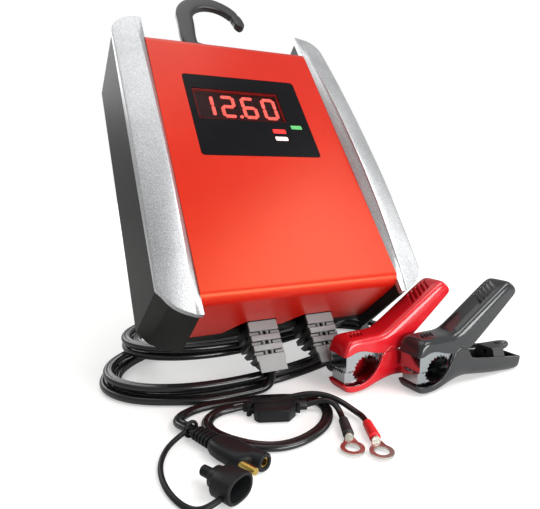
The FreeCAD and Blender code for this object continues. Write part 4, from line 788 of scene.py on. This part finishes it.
# The skin's grid, its section's power and its wall, how its ends close, and its slots' shape.
GRIP_ROWS, GRIP_COLUMNS, FLANK_COLUMNS = 230, 56, 14
GRIP_SQUARENESS, GRIP_WALL = 5.0, 1.8
END_ROUND, END_SHARE = 5.0, 0.55
SLOT_DEEP, SLOT_HALF, SLOT_FADE = 1.4, 0.85, 0.6
LEAST_DEPTH = 4
# Each slot: where it is along the grip, how far it slants, and how long it is to either side.
UPPER_SLOTS = [(60.0 + 3.7 * index, 0.55, 5.6) for index in range(5)]
UPPER_SLOTS += [(3.5 + 3.0 * index, 0.5, 3.8) for index in range(4)]


def grip_skin(back, edge, slots):
    """A handle's skin over its length and its section.

    The section is the half of a superellipse that stands on the edge line and peaks at the back
    line, so its sides are nearly straight and its back is gently crowned. The plan narrows by a
    share of a quarter circle at both ends, and each slot sinks the back by a flat-bottomed bell
    of its distance. Columns are even in height on the flanks, and even in width over the back.
    """
    back, edge = even(back, GRIP_ROWS), even(edge, GRIP_ROWS)
    mid = 0.5 ** (1 / GRIP_SQUARENESS)
    climb = np.linspace(0, mid, FLANK_COLUMNS, endpoint=False)
    over = np.linspace(mid, -mid, GRIP_COLUMNS)
    flank = (1 - climb ** GRIP_SQUARENESS) ** (1 / GRIP_SQUARENESS)
    crown = (1 - np.abs(over) ** GRIP_SQUARENESS) ** (1 / GRIP_SQUARENESS)
    across = np.concatenate([flank, over, -flank[::-1]])
    rise = np.concatenate([climb, crown, climb[::-1]])
    depth = np.linalg.norm(back - edge, axis=1)[:, None] + 0.001
    x = edge[:, None, 0] + (back - edge)[:, None, 0] * rise
    reach = np.minimum(x - x.min(), x.max() - x)
    short = np.clip(1 - reach / END_ROUND, 0, 1)
    half = CLAMP_HALF - END_ROUND * (1 - np.sqrt(1 - short ** 2)) * END_SHARE
    y = half * across
    sunk = np.zeros_like(x)
    for middle, slant, long in slots:
        off = np.abs(back[:, None, 0] + 0 * y - middle - slant * y)
        within = np.clip((long - np.abs(y)) / SLOT_FADE, 0, 1)
        sunk += SLOT_DEEP * np.exp(-(off / SLOT_HALF) ** 4) * within
    rise = rise * (1 - sunk / np.maximum(depth, LEAST_DEPTH))
    x = edge[:, None, 0] + (back - edge)[:, None, 0] * rise
    z = edge[:, None, 1] + (back - edge)[:, None, 1] * rise
    return np.stack([x, y, z], axis=-1)


# Polypropylene from a polished tool: deep colour under a clear gloss.
GRIP_FINISH = {
    "red": moulded("glossy_red_polypropylene", "b0101b", "bb1720", 0.18, 4.0, 0.02),
    "black": moulded("glossy_black_polypropylene", "1f2022", "292a2c", 0.16, 4.0, 0.01),
}
# Chrome mirrors the white room, broken up by the pressing's slow waves. The zinc on the pins is
# duller, and the clips are matt.
chrome = moulded("chromed_steel", "8d9296", "bcc1c4", 0.12, 6.0, 0.12, Metallic=1.0)
pin_steel = moulded("plated_pin_steel", "a9abad", "bcbec0", 0.25, 1.0, 0.01, Metallic=1.0)
clip_plastic = moulded("black_clip_plastic", "1d1d1e", "262627", 0.5, 0.8, 0.04)
for name, paint in GRIP_FINISH.items():
    upper = on_clamp(grip_skin(UPPER_BACK, UPPER_EDGE, UPPER_SLOTS), name)
    lower = on_clamp(grip_skin(LOWER_BACK, LOWER_EDGE, [])[:, ::-1], name)
    surface(name + "_upper_skin", upper, name + "_upper", paint,
            ring=False, ends=False, wall=GRIP_WALL, stands_for=(name + "_upper_grip",))
    surface(name + "_lower_skin", lower, "charger", paint,
            ring=False, ends=False, wall=GRIP_WALL, stands_for=(name + "_lower_grip",))
    clad(chrome, name + "_upper_jaw", name + "_lower_jaw")
clad(pin_steel, "pivot_pins", "clamp_springs")
clad(clip_plastic, "red_lead_clip", "black_lead_clip")

# Clamp leads
# One red and one black single wire in a vinyl sheath, crimped in each clamp's clip and joined to
# the cable in a moulded split.

# Extruded vinyl in a plain red, a little less glossy than the black.
red_vinyl = moulded("red_cord_vinyl", "b01218", "bf1a1f", 0.3, 1.5, 0.02)
LEAD_WIDE, ASIDE = 4.4, 2.8
lead = round_section(LEAD_WIDE)
red_lead = on_clamp([(84, 0, 16.5), (95, 0, 16.5), (104.5, 4.5, 16), (109, 14, 11.8), (108, 24, 6.8)],
                    "red").tolist()
red_lead += from_place(SPLIT, (-ASIDE, -18, 4.0), (-ASIDE, -8, 4.0))
black_lead = on_clamp([(84, 0, 16.5), (95, 0, 16.5), (106, 5, 16.5), (112, 18, 11.5), (109, 31, 5.4)],
                      "black").tolist()
black_lead += from_place(BEND, (168, 26, 2.8), (157, 28.5, 2.5), (147, 31, 2.6), (139, 36, 3.4))
black_lead += from_place(SPLIT, (ASIDE, -17, 4.0), (ASIDE, -8, 4.0))
free_cord("red_clamp_lead", red_lead[::-1], lead, red_vinyl, "cord_red", ("red_lead",),
          length=0.066, diameter=LEAD_WIDE / 1000, far_end="tool", with_pieces=["red_lead_clip"])
free_cord("black_clamp_lead", black_lead[::-1], lead, black_vinyl, "cord_black", ("black_lead",),
          length=0.116, diameter=LEAD_WIDE / 1000, far_end="tool", with_pieces=["black_lead_clip"])

# Battery lead
# A flat two-pole connector with its soft dust cap on a tether, a twin lead laid in a loop, an
# in-line blade-fuse holder, and two crimped ring terminals in sleeves.

# Where each piece lies from the bend's foot, and its turn in degrees.
CONNECTOR = ((-87.0, -24.0), -66.5)
CAP = ((-93.5, -66.0), -62.0)
HOLDER = ((-47.0, -9.0), -20.0)
BLACK_RING = ((-12.0, -71.0), -113.0)
RED_RING = ((0.5, -80.5), -110.0)


def lying(points, place, degrees):
    """Points of a piece's own frame, moved to where it lies on the table."""
    return laid(points, (BEND[0] + place[0], BEND[1] + place[1]), math.radians(degrees))


def moulding(rows):
    """A body along x: each row is a superellipse |y/w|^n + |z/h|^n = 1 about its own middle.

    A row holds x, the middle's y and z, the half width w, the half height h and n. Rows may turn
    back inside, which makes a bore, and the last one closes it.
    """
    x, middle_y, middle_z, wide, high, power = np.array(rows, float).T[..., None]
    turn = np.linspace(0, 2 * math.pi, 72, endpoint=False)
    y = middle_y + wide * squared(np.cos(turn), 2 / power)
    z = middle_z + high * squared(np.sin(turn), 2 / power)
    return np.stack([np.broadcast_to(x, y.shape), y, z], axis=-1)


# Vinyl and rubber with a low sheen: soft grey highlights, the rubber's broader and duller.
DULL = {SHEEN: 0.2}
connector_vinyl = moulded("connector_vinyl", "131415", "1b1c1e", 0.36, 0.8, 0.02, **DULL)
cap_rubber = moulded("dust_cap_rubber", "0f1011", "171819", 0.45, 0.8, 0.02, **DULL)

# The connector: a ribbed tail, a flat body, and a round socket on one side of the bare pin.
body = [(0, 0, 5, 3.4, 2.5, 2.6)]
for index in range(5):
    start, rib, core = 1.0 + 2.9 * index, 4.7 + 0.2 * index, 3.5 + 0.15 * index
    body += [(start, 0, 5, core, 2.6, 2.6), (start + 0.05, 0, 5, rib, 3.5, 2.6),
             (start + 1.6, 0, 5, rib, 3.5, 2.6), (start + 1.65, 0, 5, core, 2.6, 2.6)]
body += [(14.8, 0, 5, 4.6, 3.1, 2.6), (16.5, 0, 5, 6.0, 4.0, 2.6), (20, 0, 5, 7.6, 4.55, 2.7),
         (26, 0, 5, 8.3, 4.8, 2.8), (34, 0.1, 5, 8.4, 4.8, 2.8), (39, 0.4, 5, 8.2, 4.8, 2.8),
         (41.5, 1.4, 5, 7.2, 4.8, 2.7), (43.5, 3.1, 5, 5.6, 4.8, 2.6), (45, 4.0, 5, 4.9, 4.8, 2.5),
         (49.4, 4.3, 5, 4.7, 4.7, 2.4), (50, 4.35, 5, 4.3, 4.3, 2.4), (50.05, 4.4, 5, 3.05, 3.05, 2),
         (49.6, 4.4, 5, 2.8, 2.8, 2), (41, 4.4, 5, 2.7, 2.7, 2), (40.9, 4.4, 5, 0.1, 0.1, 2)]
surface("sae_connector_body", lying(moulding(body), *CONNECTOR), "charger",
        connector_vinyl, stands_for=("sae_connector",))
# The dust cap: a narrow closed end, a neck, and an oval cup that goes over the connector's front.
cup = [(-3, 0, 7, 2.2, 2.2, 2), (-2.5, 0, 7, 2.7, 2.7, 2), (4.4, 0, 7, 2.9, 2.9, 2),
       (4.6, 0, 7, 4.9, 4.3, 2.6), (5.1, 0, 7, 5.3, 4.7, 2.6), (9.2, 0, 7, 5.8, 5.1, 2.6),
       (9.4, 0, 7, 8.2, 6.1, 2.5), (10.2, 0, 7, 8.7, 6.5, 2.5), (21.3, 0, 7.1, 9.1, 6.9, 2.5),
       (22, 0, 7.1, 8.6, 6.5, 2.5), (22, 0, 7.1, 7.4, 5.4, 2.5), (21.4, 0, 7.1, 7.1, 5.1, 2.5),
       (10.9, 0, 7.1, 6.9, 4.9, 2.5), (10.8, 0, 7.1, 0.1, 0.1, 2)]
surface("dust_cap_shell", lying(moulding(cup), *CAP), "charger", cap_rubber,
        stands_for=("dust_cap",))
rounded_copy("fuse_holder", 0.4, connector_vinyl)
rounded_copy("fuse_cap", 0.6, connector_vinyl, body="fuse_lid")
clad(brass, "sae_contacts")

# Tinted plastic on the fuse, bright tin on the rings, and shrink sleeves that stay a little dull.
clad(moulded("tinted_fuse_body", "b5651d", "c97a2c", 0.25, 2.0, 0.01), "blade_fuse")
tinned = moulded("tinned_copper", "bdbbb4", "d3d1ca", 0.24, 1.0, 0.02, Metallic=1.0)
clad(tinned, "black_ring", "red_ring")
clad(moulded("black_shrink_sleeve", "151516", "1e1e1f", 0.45, 0.9, 0.05), "black_sleeve")
clad(moulded("red_shrink_sleeve", "d4161c", "e02026", 0.38, 0.9, 0.04), "red_sleeve")

# The twin lead leaves the connector's tail, turns through the loop and ends at the fuse holder.
TWIN_WIDE, TWIN_HIGH, SINGLE, TETHER_WIDE = 7.2, 3.9, 3.8, 3.0
SLEEVE_BACK = -28.8
loop = lying([(0, 0, 5), (-9.5, 0, 5)], *CONNECTOR).tolist()
loop += from_place(BEND, (-93.5, -4.5, 3.0), (-88, 5, 2.2), (-74, 10.5, 2.2), (-54, 9, 2.2),
                   (-33, 5.5, 2.2), (-14, -1.5, 2.2), (-2.5, -9.5, 2.2), (0.5, -20, 2.2), (-4, -33, 2.2),
                   (-16, -45.5, 2.2), (-33, -53, 2.2), (-48, -53.5, 2.2), (-61, -46.5, 2.2),
                   (-71, -35, 2.2), (-77, -24, 2.2), (-78, -14, 2.2), (-74.8, -7.2, 2.2),
                   (-69.1, -2.4, 2.4), (-61.9, -0.4, 2.8), (-55.9, -1.1, 3.0))
free_cord("battery_twin", loop, twin_section(TWIN_WIDE, TWIN_HIGH), black_vinyl, "cord_black",
          ("harness_twin",), length=0.275, diameter=TWIN_WIDE / 1000, far_end="fitting",
          with_pieces=["sae_connector_body", "sae_contacts"])

# One wire passes the holder to the red ring. The other goes through the fuse to the black ring.
single = round_section(SINGLE)
red_tail = from_place(BEND, (-55.7, 1.2, 3), (-48.5, 1.8, 3), (-38, 0.4, 3), (-26, -3, 3.4),
                      (-15.5, -7.5, 6), (-7, -12, 8.2), (2, -18, 8.2), (9, -26, 5.8), (12, -38, 3.7))
red_tail += lying([(SLEEVE_BACK - 8, 0, 3.3), (SLEEVE_BACK, 0, 3.3)], *RED_RING).tolist()
free_cord("red_ring_lead", red_tail, single, black_vinyl, "cord_black", ("red_tail",),
          length=0.101, diameter=SINGLE / 1000, far_end="connector",
          with_pieces=["red_ring", "red_sleeve"])
feed = from_place(BEND, (-56.2, -3.2, 3.4)) + lying([(-5.5, 3.2, 3.9), (-5, 3.2, 4.0)], *HOLDER).tolist()
surface("fuse_feed_lead", carried(cord_line("feed", feed), single), "charger",
        black_vinyl, stands_for=("fuse_feed",))
black_tail = lying([(36, 3.2, 4.2)], *HOLDER).tolist()
black_tail += from_place(BEND, (-6.3, -20.4, 6), (-1.2, -24.8, 8.2), (2.2, -31, 7.2))
black_tail += lying([(SLEEVE_BACK - 7, 0, 3.3), (SLEEVE_BACK, 0, 3.3)], *BLACK_RING).tolist()
free_cord("black_ring_lead", black_tail, single, black_vinyl, "cord_black", ("black_tail",),
          length=0.035, diameter=SINGLE / 1000, far_end="connector",
          with_pieces=["black_ring", "black_sleeve"])

# The cap's tether, with the ring that holds it round the connector's tail.
tether = lying([(-5, -4.4, 5)], *CONNECTOR).tolist()
tether += from_place(BEND, (-100.5, -24.5, 3.2), (-107.5, -32, 1.7), (-112.5, -45, 1.7),
                     (-113.5, -59, 1.7), (-111.5, -72, 1.7), (-107, -82.5, 1.7))
tether += lying([(17, -17.5, 4.6), (17, -8.7, 4.6)], *CAP).tolist()
free_cord("cap_strap", tether, round_section(TETHER_WIDE), cap_rubber, "connector_black",
          ("cap_tether",), length=0.086, diameter=TETHER_WIDE / 1000, far_end="fitting",
          with_pieces=["dust_cap_shell"])
RING_RADIUS, RING_WIRE = 4.2, 1.05
ring_turn = np.linspace(0, 2 * math.pi, 40, endpoint=False)
around = np.linspace(0, 2 * math.pi, 12, endpoint=False)
out = RING_RADIUS + RING_WIRE * np.cos(around)
hoop = np.stack([np.broadcast_to(-5 + RING_WIRE * np.sin(around), (len(ring_turn), len(around))),
                 np.outer(np.cos(ring_turn), out), 5.25 + np.outer(np.sin(ring_turn), out)], axis=-1)
hoop = np.concatenate([hoop, hoop[:1]])
surface("tether_ring", lying(hoop, *CONNECTOR), "charger", cap_rubber, ends=False)
